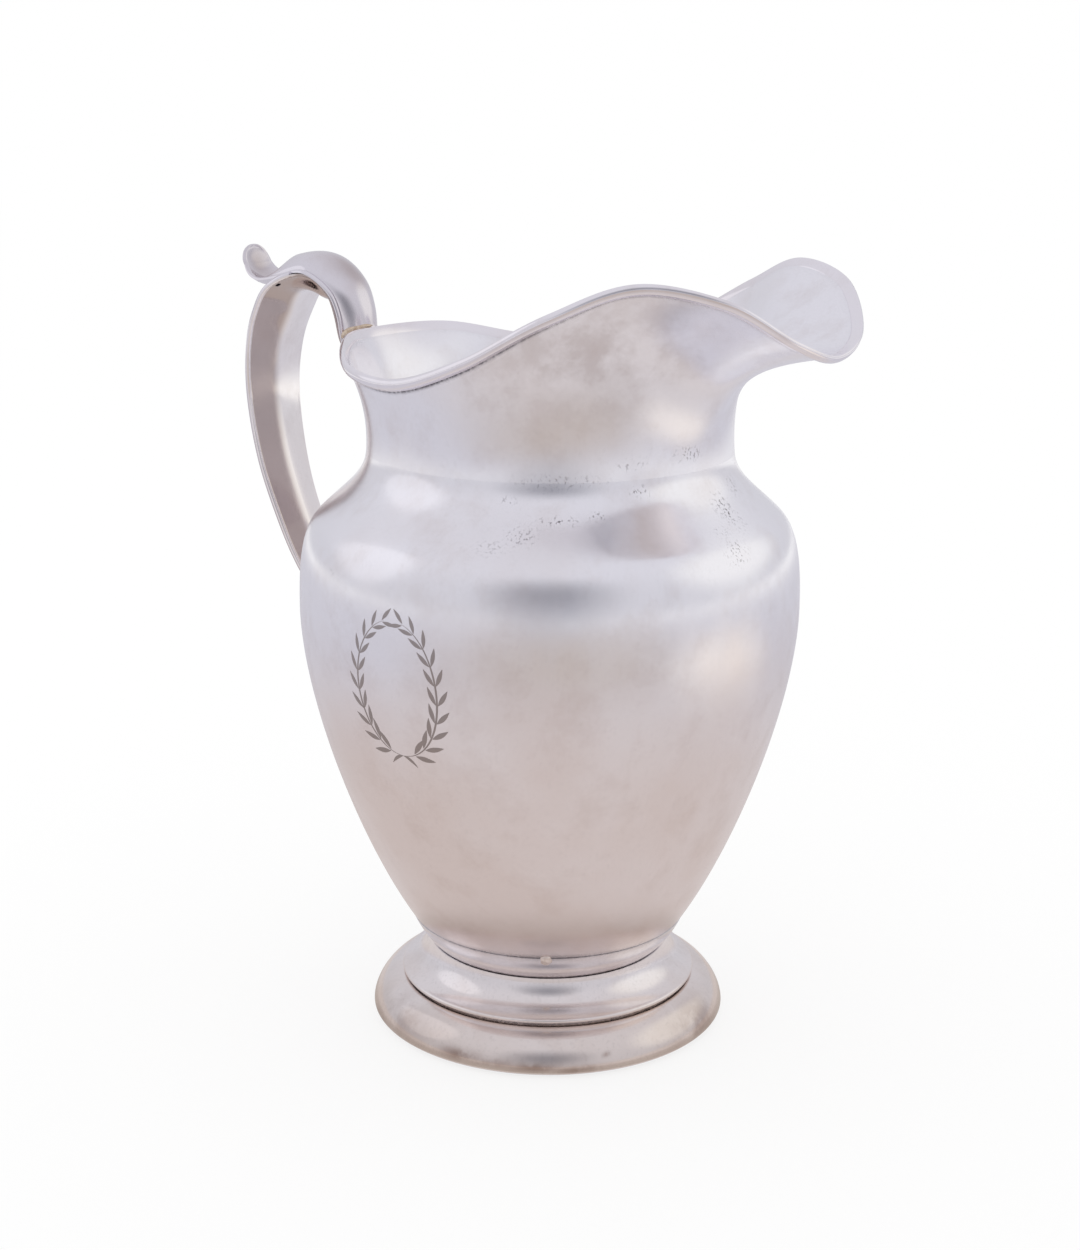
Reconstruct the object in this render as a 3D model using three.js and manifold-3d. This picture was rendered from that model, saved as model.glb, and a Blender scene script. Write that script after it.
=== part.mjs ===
// Silver water pitcher on a turned foot, with a broad spout and a hollow scroll handle.
// Millimetres, z up, spout towards +x, handle towards -x, mirror plane y = 0.
import * as THREE from 'three';
import { mergeVertices } from 'three/addons/utils/BufferGeometryUtils.js';
import Module from 'manifold-3d';

const wasm = await Module();
wasm.setup();

// Sheet, seams and facets
const sheet = 0.75; // wall of the spun and raised parts
const seamGap = 0.3; // solder film between neighbouring parts
const turnSteps = 44; // facets round the axis of the turned parts
const rimSteps = 56; // facets round the mouth
const wallSteps = 8; // facets up the neck's wall
const wireSides = 8;

// Foot
const footRadius = 54.9; // widest of the base moulding
const footWidestZ = 2.7;
const bearingRadius = 52; // outer edge of the ring that it stands on
const bearingWidth = 4.2;
const bearingHeight = 0.6;
const bearingChamfer = 0.35;
const footWall = 1;
const footFlange = 2.4; // flat ledge behind the groove, where dome and moulding meet
const grooveRadius = 44.3; // bottom of the groove above the moulding
const grooveZ = 12.2;
const grooveHalfWidth = 0.55;
const domeLipRadius = 45.7; // small rolled lip over the groove
const domeLipHeight = 1.5;
const domeWall = 1;
const domeBore = 33.6; // hole in the dome's flat top, under the collar
const domeTopMargin = 0.5; // dome's flat top outside the collar's foot

// Collar between the bowl and the foot
const collarFootRadius = 36.4;
const collarFootZ = 24.1;
const collarTopRadius = 42.4;
const collarTopZ = 32.9;
const collarWall = 1.2;
const collarBulge = 0.5;
const collarStep = 0.2; // bowl's edge inside the collar's top edge

// Bowl
const bodyRadius = 75.1;
const bodyWidestZ = 132;
const flankLean = 34.2; // degrees from upright where the bowl leaves the collar
const flankLowPull = 27;
const flankHighPull = 29;
const shoulderRadius = 69; // where the shoulder turns from round to hollow
const shoulderZ = 159.5;
const shoulderLean = 45.9;
const shoulderRoundPull = 17.1;
const shoulderTurnPull = 5.6;
const shoulderHollowPull = 11;
const neckPull = 4.8;
const neckRadius = 54.5;
const neckZ = 178;
const floorDrop = 5.4; // how far the round floor hangs below the collar's top edge

// Mouth, by the turn in degrees from the spout: reach and height as shares of the farthest and the highest,
// lean of the wall at the rim from upright, share of the rise over which the wall stays upright, share over
// which it keeps its lean
const spoutReach = 91.2; // farthest of the rim from the axis
const mouthRise = 53.7; // highest of the rim above the neck seam
const mouthShape = [
  { turn: 0, reach: 1, height: 0.6294, lean: 80, rise: 0.75, throat: 0.58 },
  { turn: 12, reach: 0.9945, height: 0.7207, lean: 74, rise: 0.73, throat: 0.56 },
  { turn: 25, reach: 0.9232, height: 0.9311, lean: 56, rise: 0.66, throat: 0.54 },
  { turn: 40, reach: 0.8004, height: 1, lean: 38, rise: 0.55, throat: 0.5 },
  { turn: 58, reach: 0.7346, height: 0.8454, lean: 26, rise: 0.5, throat: 0.5 },
  { turn: 80, reach: 0.6689, height: 0.6015, lean: 20, rise: 0.45, throat: 0.5 },
  { turn: 105, reach: 0.6294, height: 0.4507, lean: 18, rise: 0.45, throat: 0.5 },
  { turn: 130, reach: 0.6535, height: 0.4618, lean: 24, rise: 0.45, throat: 0.5 },
  { turn: 155, reach: 0.6711, height: 0.5512, lean: 30, rise: 0.45, throat: 0.5 },
  { turn: 180, reach: 0.7127, height: 0.5512, lean: 34, rise: 0.45, throat: 0.5 },
];
const leastOut = 4; // flare that the wall's curve is drawn with where the mouth hardly flares
const spoutCrowding = 0.35; // how much closer the facets are at the spout
const rimWireHeight = 3.8;
const rimWireWidth = 3.1;
const rimWireOut = 0.22; // wire centre outside the wall's outer face

// Handle: seam line between its inner face and its outer half, from the rim down to the bowl
const handleSpringZ = 196; // where the seam line leaves the neck, under the rim
const handleSpringDepth = 1.5; // and how far inside the neck's outer face it starts, before it is trimmed
const handleRootOut = 5.5; // seam line outside the rim wire's line
const handleRootDrop = 4.4;
const archX = 83.8;
const archZ = 225.7;
const handleReach = 106.4;
const handleReachZ = 187.5;
const handleSeatZ = 104;
const handleSeatDepth = 1.5; // seam line's end inside the bowl's outer face, before it is trimmed
const handleWall = 1;
const rootBelly = 3.6; // bulge of the inner face, by its place on the handle
const archBelly = 8.4;
const topBelly = 3.4;
const loopBelly = 2.8;
const seatBelly = 2.6;
const rootHalfWidth = 8.5;
const springNarrowing = 0.5; // strap narrower at the neck than at its root, each side
const archHalfWidth = 11.6;
const topHalfWidth = 15; // widest of the strap, under the thumb leaf
const loopHalfWidth = 12.7;
const seatHalfWidth = 9.4;
const rootCrown = 6.6;
const archCrown = 5.8;
const underLeafCrown = 3.4;
const loopCrown = 6;
const seatCrown = 5.6;
const ventRadius = 0.8;
const ventT = 0.376; // vent hole's place along the seam line, from 0 at the rim to 1 at the bowl
const ventSide = 13.7; // and off the middle of the inner face

// Thumb leaf at the end of the upper scroll
const leafTipX = 114.2;
const leafTipZ = 232.4;
const leafLowX = 105;
const leafLowZ = 222.2;
const leafHalfWidth = 8.6;
const leafTipHalfWidth = 1.6;
const leafThickness = 2.6;

// Solder left at two joints
const rimSolderHalfLength = 6.6;
const rimSolderSide = -4; // middle of the solder, off the mirror plane
const rimSolderRadius = 1.5;
const rimSolderOut = 0.4; // middle of the solder from the rim's line
const rimSolderUp = 2;
const collarSolderTurn = -58;
const collarSolderHalfWidth = 1.7;
const collarSolderHalfHeight = 2.2;
const collarSolderProud = 1;
const collarSolderIn = 0.9; // middle of the drop from the collar's top edge
const collarSolderDrop = 0.6;

const degrees = Math.PI / 180;
const mouth = mouthShape.map((s) => (
  { ...s, reach: s.reach * spoutReach, height: neckZ + s.height * mouthRise }
));
const rimBack = mouth[mouth.length - 1];

// Points of a cubic curve in the plane of radius and height
function cubic(a, b, c, d, count) {
  return new THREE.CubicBezierCurve(a, b, c, d).getPoints(count);
}

function leaned(degreesFromUpright) {
  return new THREE.Vector2(Math.sin(degreesFromUpright * degrees), Math.cos(degreesFromUpright * degrees));
}

// Parallel curve on the left of a list of points, at a distance
function offsetCurve(points, distance) {
  return points.map((point, i) => {
    const before = points[Math.max(i - 1, 0)];
    const after = points[Math.min(i + 1, points.length - 1)];
    const along = after.clone().sub(before).normalize();
    return new THREE.Vector2(point.x - along.y * distance, point.y + along.x * distance);
  });
}

function turned(profile) {
  const closed = [...profile, profile[0].clone()];
  const geometry = new THREE.LatheGeometry(closed, turnSteps);
  geometry.rotateX(Math.PI / 2);
  return outward(weld(geometry));
}

function weld(geometry) {
  geometry.deleteAttribute('normal');
  geometry.deleteAttribute('uv');
  const merged = mergeVertices(geometry, 1e-4);
  const kept = [];
  for (let i = 0; i < merged.index.count; i += 3) {
    const ids = [0, 1, 2].map((k) => merged.index.getX(i + k));
    const flat = ids[0] === ids[1] || ids[1] === ids[2] || ids[2] === ids[0];
    if (!flat) kept.push(...ids);
  }
  merged.setIndex(kept);
  return merged;
}

function signedVolume(geometry) {
  const position = geometry.getAttribute('position');
  const a = new THREE.Vector3();
  const b = new THREE.Vector3();
  const c = new THREE.Vector3();
  let total = 0;
  for (let i = 0; i < geometry.index.count; i += 3) {
    a.fromBufferAttribute(position, geometry.index.getX(i));
    b.fromBufferAttribute(position, geometry.index.getX(i + 1));
    c.fromBufferAttribute(position, geometry.index.getX(i + 2));
    total += a.dot(b.cross(c)) / 6;
  }
  return total;
}

function outward(geometry) {
  if (signedVolume(geometry) < 0) {
    const index = geometry.index;
    for (let i = 0; i < index.count; i += 3) {
      const second = index.getX(i + 1);
      index.setX(i + 1, index.getX(i + 2));
      index.setX(i + 2, second);
    }
  }
  return geometry;
}

// Triangles of a flat end: a strip between the two halves of a paired outline, otherwise a fan
function endFaces(count, base, inOrder, paired) {
  const faces = [];
  if (paired) {
    for (let i = 0; i < count / 2 - 1; i += 1) {
      faces.push([i, i + 1, count - 2 - i], [i, count - 2 - i, count - 1 - i]);
    }
  } else {
    for (let i = 1; i < count - 1; i += 1) faces.push([0, i, i + 1]);
  }
  const ordered = faces.map(([a, b, c]) => (inOrder ? [a, b, c] : [a, c, b]));
  return ordered.flat().map((i) => base + i);
}

// Skin over a row of closed sections, either with two flat ends or closed on itself
function loft(sections, looped, paired) {
  const rows = sections.length;
  const count = sections[0].length;
  const position = sections.flat().flatMap((p) => [p.x, p.y, p.z]);
  const index = [];
  const last = looped ? rows : rows - 1;
  for (let i = 0; i < last; i += 1) {
    const next = (i + 1) % rows;
    for (let j = 0; j < count; j += 1) {
      const k = (j + 1) % count;
      index.push(i * count + j, next * count + j, next * count + k);
      index.push(i * count + j, next * count + k, i * count + k);
    }
  }
  if (!looped) {
    index.push(...endFaces(count, 0, true, paired));
    index.push(...endFaces(count, (rows - 1) * count, false, paired));
  }
  const geometry = new THREE.BufferGeometry();
  geometry.setAttribute('position', new THREE.Float32BufferAttribute(position, 3));
  geometry.setIndex(index);
  return outward(weld(geometry));
}

function solid(geometry) {
  const vertProperties = new Float32Array(geometry.getAttribute('position').array);
  const triVerts = new Uint32Array(geometry.index.array);
  return new wasm.Manifold(new wasm.Mesh({ numProp: 3, vertProperties, triVerts }));
}

function biggestBody(shape) {
  const bodies = shape.decompose();
  return bodies.reduce((best, body) => (body.volume() > best.volume() ? body : best));
}

function geometryOf(shape) {
  const mesh = shape.getMesh();
  const geometry = new THREE.BufferGeometry();
  geometry.setAttribute('position', new THREE.Float32BufferAttribute(Array.from(mesh.vertProperties), 3));
  geometry.setIndex(Array.from(mesh.triVerts));
  return geometry;
}

// Smooth even function of the turn round the mouth
function aroundMouth(key, turn) {
  const half = Math.abs(((turn + 540) % 360) - 180);
  const row = [];
  mouth.slice(1).reverse().forEach((s) => row.push([-s.turn, s[key]]));
  mouth.forEach((s) => row.push([s.turn, s[key]]));
  mouth.slice(0, -1).reverse().forEach((s) => row.push([360 - s.turn, s[key]]));
  let i = 1;
  while (row[i + 1][0] < half) i += 1;
  const slope = (n) => (row[n + 1][1] - row[n - 1][1]) / (row[n + 1][0] - row[n - 1][0]);
  const width = row[i + 1][0] - row[i][0];
  const t = (half - row[i][0]) / width;
  const h = 1 - t;
  return (1 + 2 * t) * h * h * row[i][1] + t * h * h * width * slope(i)
    + t * t * (3 - 2 * t) * row[i + 1][1] - t * t * h * width * slope(i + 1);
}

// Wall of the neck at one turn: outer face from the neck seam up to the rim line
function neckWall(turn, stopBelowRim, count) {
  const rim = new THREE.Vector2(aroundMouth('reach', turn), aroundMouth('height', turn));
  const lean = leaned(aroundMouth('lean', turn));
  const top = rim.clone().addScaledVector(lean, -stopBelowRim);
  const base = new THREE.Vector2(neckRadius, neckZ);
  const rise = top.y - base.y;
  const out = Math.max(top.x - base.x, leastOut);
  const low = new THREE.Vector2(neckRadius, neckZ + rise * aroundMouth('rise', turn));
  const pull = Math.min(out / Math.max(lean.x, 0.2), rise / Math.max(lean.y, 0.2));
  const high = top.clone().addScaledVector(lean, -pull * aroundMouth('throat', turn));
  return cubic(base, low, high, top, count);
}

function onTurn(point, turn) {
  const angle = turn * degrees;
  return new THREE.Vector3(point.x * Math.cos(angle), point.x * Math.sin(angle), point.y);
}

// Turns round the mouth, closer together at the spout
const mouthTurns = Array.from({ length: rimSteps }, (_, i) => {
  const u = (i / rimSteps) * 2 * Math.PI;
  return (u - spoutCrowding * Math.sin(u)) / degrees;
});

// Bowl outline from the collar up to the neck seam
function bowlOutline() {
  const foot = new THREE.Vector2(collarTopRadius - collarStep, collarTopZ);
  const widest = new THREE.Vector2(bodyRadius, bodyWidestZ);
  const shoulder = new THREE.Vector2(shoulderRadius, shoulderZ);
  const neck = new THREE.Vector2(neckRadius, neckZ);
  const inLean = leaned(-shoulderLean);
  const flank = cubic(
    foot,
    foot.clone().addScaledVector(leaned(flankLean), flankLowPull),
    new THREE.Vector2(bodyRadius, bodyWidestZ - flankHighPull),
    widest,
    7,
  );
  const round = cubic(
    widest,
    new THREE.Vector2(bodyRadius, bodyWidestZ + shoulderRoundPull),
    shoulder.clone().addScaledVector(inLean, -shoulderTurnPull),
    shoulder,
    5,
  );
  const hollow = cubic(
    shoulder,
    shoulder.clone().addScaledVector(inLean, shoulderHollowPull),
    new THREE.Vector2(neckRadius, neckZ - neckPull),
    neck,
    4,
  );
  return [...flank, ...round.slice(1), ...hollow.slice(1)];
}

// Round floor of the bowl from the axis out to the collar's edge
function floorOutline() {
  const edge = new THREE.Vector2(collarTopRadius - collarStep, collarTopZ);
  const middle = new THREE.Vector2(0, collarTopZ - floorDrop);
  const pull = edge.clone().addScaledVector(leaned(flankLean), -floorDrop * 0.55);
  return cubic(middle, new THREE.Vector2(edge.x * 0.7, middle.y), pull, edge, 4);
}

const bowlOuter = [...floorOutline(), ...bowlOutline().slice(1)];
const bowlInner = offsetCurve(bowlOuter, sheet);
bowlInner[0].x = 0;
bowlInner[bowlInner.length - 1].set(neckRadius - sheet, neckZ);
const bowlGeometry = turned([...bowlOuter, ...bowlInner.slice().reverse()]);

// Collar: a tapering strip under the bowl's edge, slightly convex outside
function collarOutline() {
  const foot = new THREE.Vector2(collarFootRadius, collarFootZ);
  const top = new THREE.Vector2(collarTopRadius, collarTopZ - seamGap);
  const along = top.clone().sub(foot);
  const side = new THREE.Vector2(along.y, -along.x).normalize();
  return [0, 0.25, 0.5, 0.75, 1].map((t) => foot.clone()
    .addScaledVector(along, t)
    .addScaledVector(side, collarBulge * 4 * t * (1 - t)));
}
function collarProfile() {
  const outer = collarOutline();
  const foot = outer[0];
  const top = outer[outer.length - 1];
  const floor = offsetCurve(floorOutline(), -seamGap);
  const wallShare = collarWall / top.distanceTo(foot);
  const edge = floor[floor.length - 1].clone().lerp(floor[floor.length - 2], wallShare);
  const innerTop = new THREE.Vector2(top.x - collarWall, Math.min(top.y, edge.y) - collarWall * 0.5);
  return [new THREE.Vector2(foot.x - collarWall, foot.y), ...outer, innerTop];
}
const collarGeometry = turned(collarProfile());

// Spun dome of the foot, a cove that ends in a small rolled lip
function domeProfile() {
  const top = new THREE.Vector2(collarFootRadius + domeTopMargin, collarFootZ);
  const lipTop = new THREE.Vector2(domeLipRadius - 0.8, grooveZ + grooveHalfWidth + domeLipHeight);
  const cove = cubic(
    top,
    new THREE.Vector2(top.x + 0.6, top.y - (top.y - lipTop.y) * 0.55),
    new THREE.Vector2(lipTop.x - (lipTop.x - top.x) * 0.55, lipTop.y + 1.3),
    lipTop,
    5,
  );
  const lipMiddle = grooveZ + grooveHalfWidth + domeLipHeight / 2;
  const lip = [-45, 0, 45].map((angle) => new THREE.Vector2(
    domeLipRadius - domeLipHeight / 2 + (domeLipHeight / 2) * Math.cos(angle * degrees),
    lipMiddle - (domeLipHeight / 2) * Math.sin(angle * degrees),
  ));
  const ledgeRadius = grooveRadius - footFlange;
  const under = [
    new THREE.Vector2(grooveRadius, grooveZ + grooveHalfWidth),
    new THREE.Vector2(grooveRadius, grooveZ),
    new THREE.Vector2(ledgeRadius, grooveZ),
  ];
  const inner = offsetCurve(cove, -domeWall).reverse().filter((p) => p.x < ledgeRadius && p.x > domeBore);
  const bore = [
    new THREE.Vector2(domeBore, collarFootZ - domeWall),
    new THREE.Vector2(domeBore, collarFootZ),
  ];
  return [...cove, ...lip, ...under, ...inner, ...bore];
}
const domeGeometry = turned(domeProfile());

// Base moulding, a hollow rounded ring
function mouldingProfile() {
  const top = new THREE.Vector2(grooveRadius + 0.5, grooveZ - grooveHalfWidth);
  const widest = new THREE.Vector2(footRadius, footWidestZ);
  const bottom = new THREE.Vector2(bearingRadius, bearingHeight);
  const upper = cubic(
    top,
    new THREE.Vector2(top.x + (widest.x - top.x) * 0.62, top.y + 0.2),
    new THREE.Vector2(widest.x, widest.y + (top.y - widest.y) * 0.55),
    widest,
    5,
  );
  const lower = cubic(
    widest,
    new THREE.Vector2(widest.x, widest.y - (widest.y - bottom.y) * 0.55),
    new THREE.Vector2(bottom.x + (widest.x - bottom.x) * 0.5, bottom.y),
    bottom,
    2,
  );
  const skin = [...upper, ...lower.slice(1)];
  const ledge = new THREE.Vector2(grooveRadius - footFlange, grooveZ);
  const foot = new THREE.Vector2(bearingRadius - bearingWidth, bearingHeight);
  return [
    ledge,
    new THREE.Vector2(grooveRadius, grooveZ),
    new THREE.Vector2(grooveRadius, grooveZ - grooveHalfWidth),
    ...skin,
    foot,
    new THREE.Vector2(foot.x, foot.y + footWall),
    ...offsetCurve(skin, -footWall).reverse(),
    new THREE.Vector2(ledge.x, grooveZ - grooveHalfWidth - footWall),
  ];
}
const mouldingGeometry = turned(mouldingProfile());

// Flat ring that the foot stands on
const bearingGeometry = turned([
  new THREE.Vector2(bearingRadius, bearingChamfer),
  new THREE.Vector2(bearingRadius, bearingHeight),
  new THREE.Vector2(bearingRadius - bearingWidth, bearingHeight),
  new THREE.Vector2(bearingRadius - bearingWidth, 0),
  new THREE.Vector2(bearingRadius - bearingChamfer, 0),
]);

// Neck and spout, one raised sheet from the neck seam to the rim wire
const wallStop = rimWireHeight / 2 + seamGap;
function neckSection(turn) {
  const outer = neckWall(turn, wallStop, wallSteps);
  const inner = offsetCurve(outer, sheet);
  inner[0].set(neckRadius - sheet, neckZ);
  return [...outer, ...inner.reverse()].map((p) => onTurn(p, turn));
}
const neckGeometry = loft(mouthTurns.map(neckSection), true);

// Rim wire, an oval bead over the edge of the wall
function wireSection(turn, extra) {
  const rim = new THREE.Vector2(aroundMouth('reach', turn), aroundMouth('height', turn));
  const up = leaned(aroundMouth('lean', turn));
  const out = new THREE.Vector2(up.y, -up.x);
  const middle = rim.clone().addScaledVector(out, rimWireOut - sheet / 2);
  return Array.from({ length: wireSides }, (_, i) => {
    const a = (i / wireSides) * 2 * Math.PI;
    const p = middle.clone()
      .addScaledVector(out, (rimWireWidth / 2 + extra) * Math.cos(a))
      .addScaledVector(up, (rimWireHeight / 2 + extra) * Math.sin(a));
    return onTurn(p, turn);
  });
}
const wireGeometry = loft(mouthTurns.map((turn) => wireSection(turn, 0)), true);

// Filled vessel, a little larger than the real one, that trims what is soldered to it
function filledNeck() {
  const rows = mouthTurns.map((turn) => {
    const outer = neckWall(turn, 0, wallSteps);
    return offsetCurve(outer, -seamGap).map((p) => onTurn(p, turn));
  });
  const count = rows[0].length;
  const position = rows.flat().flatMap((p) => [p.x, p.y, p.z]);
  const index = [];
  rows.forEach((_, i) => {
    const next = (i + 1) % rows.length;
    for (let j = 0; j < count - 1; j += 1) {
      index.push(i * count + j, next * count + j, next * count + j + 1);
      index.push(i * count + j, next * count + j + 1, i * count + j + 1);
    }
  });
  const low = position.length / 3;
  position.push(0, 0, neckZ);
  position.push(0, 0, rimBack.height);
  rows.forEach((_, i) => {
    const next = (i + 1) % rows.length;
    index.push(low, next * count, i * count);
    index.push(low + 1, i * count + count - 1, next * count + count - 1);
  });
  const geometry = new THREE.BufferGeometry();
  geometry.setAttribute('position', new THREE.Float32BufferAttribute(position, 3));
  geometry.setIndex(index);
  return solid(outward(weld(geometry)));
}
const bowlFilledOutline = offsetCurve(bowlOuter, -seamGap);
bowlFilledOutline[0].x = 0;
bowlFilledOutline[bowlFilledOutline.length - 1].y = neckZ;
const bowlFilled = solid(turned([...bowlFilledOutline, new THREE.Vector2(0, neckZ)]));
const neckFilled = filledNeck();
const wireFilled = solid(loft(mouthTurns.map((turn) => wireSection(turn, seamGap)), true));

// Handle stations along the seam line
function radiusAt(row, z) {
  let i = 0;
  while (i < row.length - 2 && row[i + 1].y < z) i += 1;
  const t = (z - row[i].y) / (row[i + 1].y - row[i].y);
  return row[i].x + (row[i + 1].x - row[i].x) * t;
}
const springX = radiusAt(neckWall(rimBack.turn, 0, wallSteps), handleSpringZ) - handleSpringDepth;
const rootX = rimBack.reach + handleRootOut;
const rootZ = rimBack.height - handleRootDrop;
const seatX = radiusAt(bowlOutline(), handleSeatZ) - handleSeatDepth;
const overArch = archX - rootX;
const pastArch = handleReach - archX;
const crestHalfWidth = (rootHalfWidth + archHalfWidth) / 2;
const crestBelly = (rootBelly + archBelly) / 2;
const bendHalfWidth = (topHalfWidth + loopHalfWidth) / 2;
const bendCrown = (underLeafCrown + 2 * loopCrown) / 3;
function station(x, z, half, crown, belly) {
  return { x, z, half, crown, belly };
}
const stations = [
  station(springX, handleSpringZ, rootHalfWidth - springNarrowing, rootCrown, rootBelly),
  station(rootX, rootZ, rootHalfWidth, rootCrown, rootBelly),
  station(rootX + 2.3, rootZ + 10.3, rootHalfWidth + 1, rootCrown, rootBelly),
  station(rootX + overArch * 0.38, archZ - 5.6, crestHalfWidth, rootCrown, crestBelly),
  station(archX, archZ, archHalfWidth, archCrown, archBelly),
  station(archX + pastArch * 0.5, archZ - 4.2, topHalfWidth, underLeafCrown, topBelly),
  station(archX + pastArch * 0.76, archZ - 12.8, topHalfWidth, bendCrown, topBelly),
  station(handleReach - 1.6, handleReachZ + 15.5, bendHalfWidth, loopCrown, loopBelly),
  station(handleReach, handleReachZ, loopHalfWidth, loopCrown, loopBelly),
  station(handleReach - 3.1, handleReachZ - 22, loopHalfWidth - 1, loopCrown, loopBelly),
  station(handleReach - 8.6, handleReachZ - 38.5, loopHalfWidth - 2, loopCrown, loopBelly),
  station(handleReach - 16, handleReachZ - 53.5, seatHalfWidth + 1.1, seatCrown, seatBelly),
  station(seatX + 8.4, handleSeatZ + 13.2, seatHalfWidth + 0.6, seatCrown, seatBelly),
  station(seatX, handleSeatZ, seatHalfWidth, seatCrown, seatBelly),
];
const seamLine = new THREE.CatmullRomCurve3(
  stations.map((s) => new THREE.Vector3(-s.x, s.z, 0)),
  false,
  'centripetal',
);

function stationValue(key, t) {
  const place = Math.min(Math.max(t, 0), 1) * (stations.length - 1);
  const i = Math.min(Math.floor(place), stations.length - 2);
  const f = place - i;
  const ease = f * f * (3 - 2 * f);
  return stations[i][key] + (stations[i + 1][key] - stations[i][key]) * ease;
}

// Place of a section point: across the strap, and out from the seam line
function onSeam(line, t, across, out) {
  const p = line.getPoint(t);
  const along = line.getTangent(t);
  const normal = new THREE.Vector2(along.y, -along.x);
  return new THREE.Vector3(p.x + normal.x * out, across, p.y + normal.y * out);
}

function channel(half, crown, hollow, extra) {
  const gap = seamGap / 2 - extra;
  const row = [];
  const inner = [];
  const count = 8;
  for (let i = 0; i <= count; i += 1) {
    const a = (i / count) * Math.PI;
    row.push([-(half + extra) * Math.cos(a), gap + (crown + extra * 2 - gap) * Math.sin(a)]);
    const inHalf = half - handleWall;
    inner.push([-inHalf * Math.cos(a), gap + Math.max(hollow - gap, 0) * Math.sin(a)]);
  }
  return extra > 0 ? row : [...row, ...inner.reverse()];
}

function strap(line, from, to, count, paired, sectionAt) {
  const rows = Array.from({ length: count + 1 }, (_, i) => from + ((to - from) * i) / count);
  const outlines = rows.map((t) => sectionAt(t));
  const placed = outlines.map((row, i) => row.map(([across, out]) => onSeam(line, rows[i], across, out)));
  return loft(placed, false, paired);
}

// Inner half of the handle with its vent hole
const faceSteps = 36;
function faceSection(t) {
  const belly = stationValue('belly', t);
  const row = channel(stationValue('half', t), belly, belly - handleWall, 0);
  return row.map(([across, out]) => [across, -out]);
}
const faceBlank = solid(strap(seamLine, 0, 1, faceSteps, true, faceSection));
const ventShare = ventSide / stationValue('half', ventT);
const ventDepth = stationValue('belly', ventT) * Math.sqrt(1 - ventShare ** 2);
const ventPlace = onSeam(seamLine, ventT, -ventSide, -ventDepth);
const ventAlong = seamLine.getTangent(ventT);
const ventGeometry = new THREE.CylinderGeometry(ventRadius, ventRadius, handleWall * 4, 12);
ventGeometry.applyQuaternion(new THREE.Quaternion().setFromUnitVectors(
  new THREE.Vector3(0, 1, 0),
  new THREE.Vector3(ventAlong.y, 0, -ventAlong.x).normalize(),
));
ventGeometry.translate(ventPlace.x, ventPlace.y, ventPlace.z);
const ventDrill = solid(outward(weld(ventGeometry)));

function trimmed(shape) {
  return biggestBody(shape.subtract(bowlFilled).subtract(neckFilled).subtract(wireFilled));
}
const faceShape = trimmed(faceBlank.subtract(ventDrill));

// Upper scroll: outer half over the arch, running out into the thumb leaf
const scrollEnd = stations.findIndex((s) => s.x === archX) / (stations.length - 1);
const scrollLine = new THREE.CatmullRomCurve3(
  [
    ...stations.slice(0, 5).map((s) => new THREE.Vector3(-s.x, s.z, 0)),
    new THREE.Vector3(-(archX + (leafLowX - archX) * 0.5), (archZ + leafLowZ) / 2 - 0.2, 0),
    new THREE.Vector3(-leafLowX, leafLowZ, 0),
    new THREE.Vector3(-(leafTipX - 4), leafLowZ + 1.7, 0),
    new THREE.Vector3(-(leafTipX - 1.5), (leafLowZ + leafTipZ) / 2, 0),
    new THREE.Vector3(-(leafTipX - 0.3), leafTipZ - 1.5, 0),
    new THREE.Vector3(-leafTipX, leafTipZ, 0),
  ],
  false,
  'centripetal',
);
const scrollHalf = [rootHalfWidth - springNarrowing, rootHalfWidth, rootHalfWidth + 0.6, crestHalfWidth,
  archHalfWidth, (archHalfWidth + leafHalfWidth) / 2 + 0.6, leafHalfWidth, leafHalfWidth * 0.86,
  leafHalfWidth * 0.7, leafHalfWidth * 0.44, leafTipHalfWidth];
const scrollCrown = [rootCrown, rootCrown, rootCrown, (rootCrown + archCrown) / 2, archCrown,
  (archCrown + leafThickness) / 2 + 2, leafThickness + 2.2, leafThickness + 0.5, leafThickness,
  leafThickness * 0.85, leafThickness * 0.6];

function eased(values, t) {
  const place = Math.min(Math.max(t, 0), 1) * (values.length - 1);
  const i = Math.min(Math.floor(place), values.length - 2);
  const f = place - i;
  const ease = f * f * (3 - 2 * f);
  return values[i] + (values[i + 1] - values[i]) * ease;
}

const scrollHollowTo = 0.46; // the scroll is solid past this share of its length
const scrollHollowFade = 0.11;
function scrollSection(t, extra) {
  const half = eased(scrollHalf, t);
  const crown = eased(scrollCrown, t);
  const fade = Math.min(Math.max((scrollHollowTo - t) / scrollHollowFade, 0), 1);
  return channel(half, crown, (crown - handleWall) * fade, extra);
}
const scrollSteps = 33;
const scrollBlank = solid(strap(scrollLine, 0, 1, scrollSteps, true, (t) => scrollSection(t, 0)));
const scrollShape = trimmed(scrollBlank);
const scrollFilled = solid(strap(scrollLine, 0, 1, scrollSteps, false, (t) => scrollSection(t, seamGap)));

// Outer half of the loop, from under the thumb leaf down to the bowl
const backFrom = scrollEnd + 0.03;
function backSection(t) {
  const half = stationValue('half', t);
  const crown = stationValue('crown', t);
  return channel(half, crown, Math.max(crown - handleWall, 0), 0);
}
const backSteps = 26;
const backBlank = solid(strap(seamLine, backFrom, 1, backSteps, true, backSection));
const backShape = trimmed(backBlank.subtract(scrollFilled));

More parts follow.
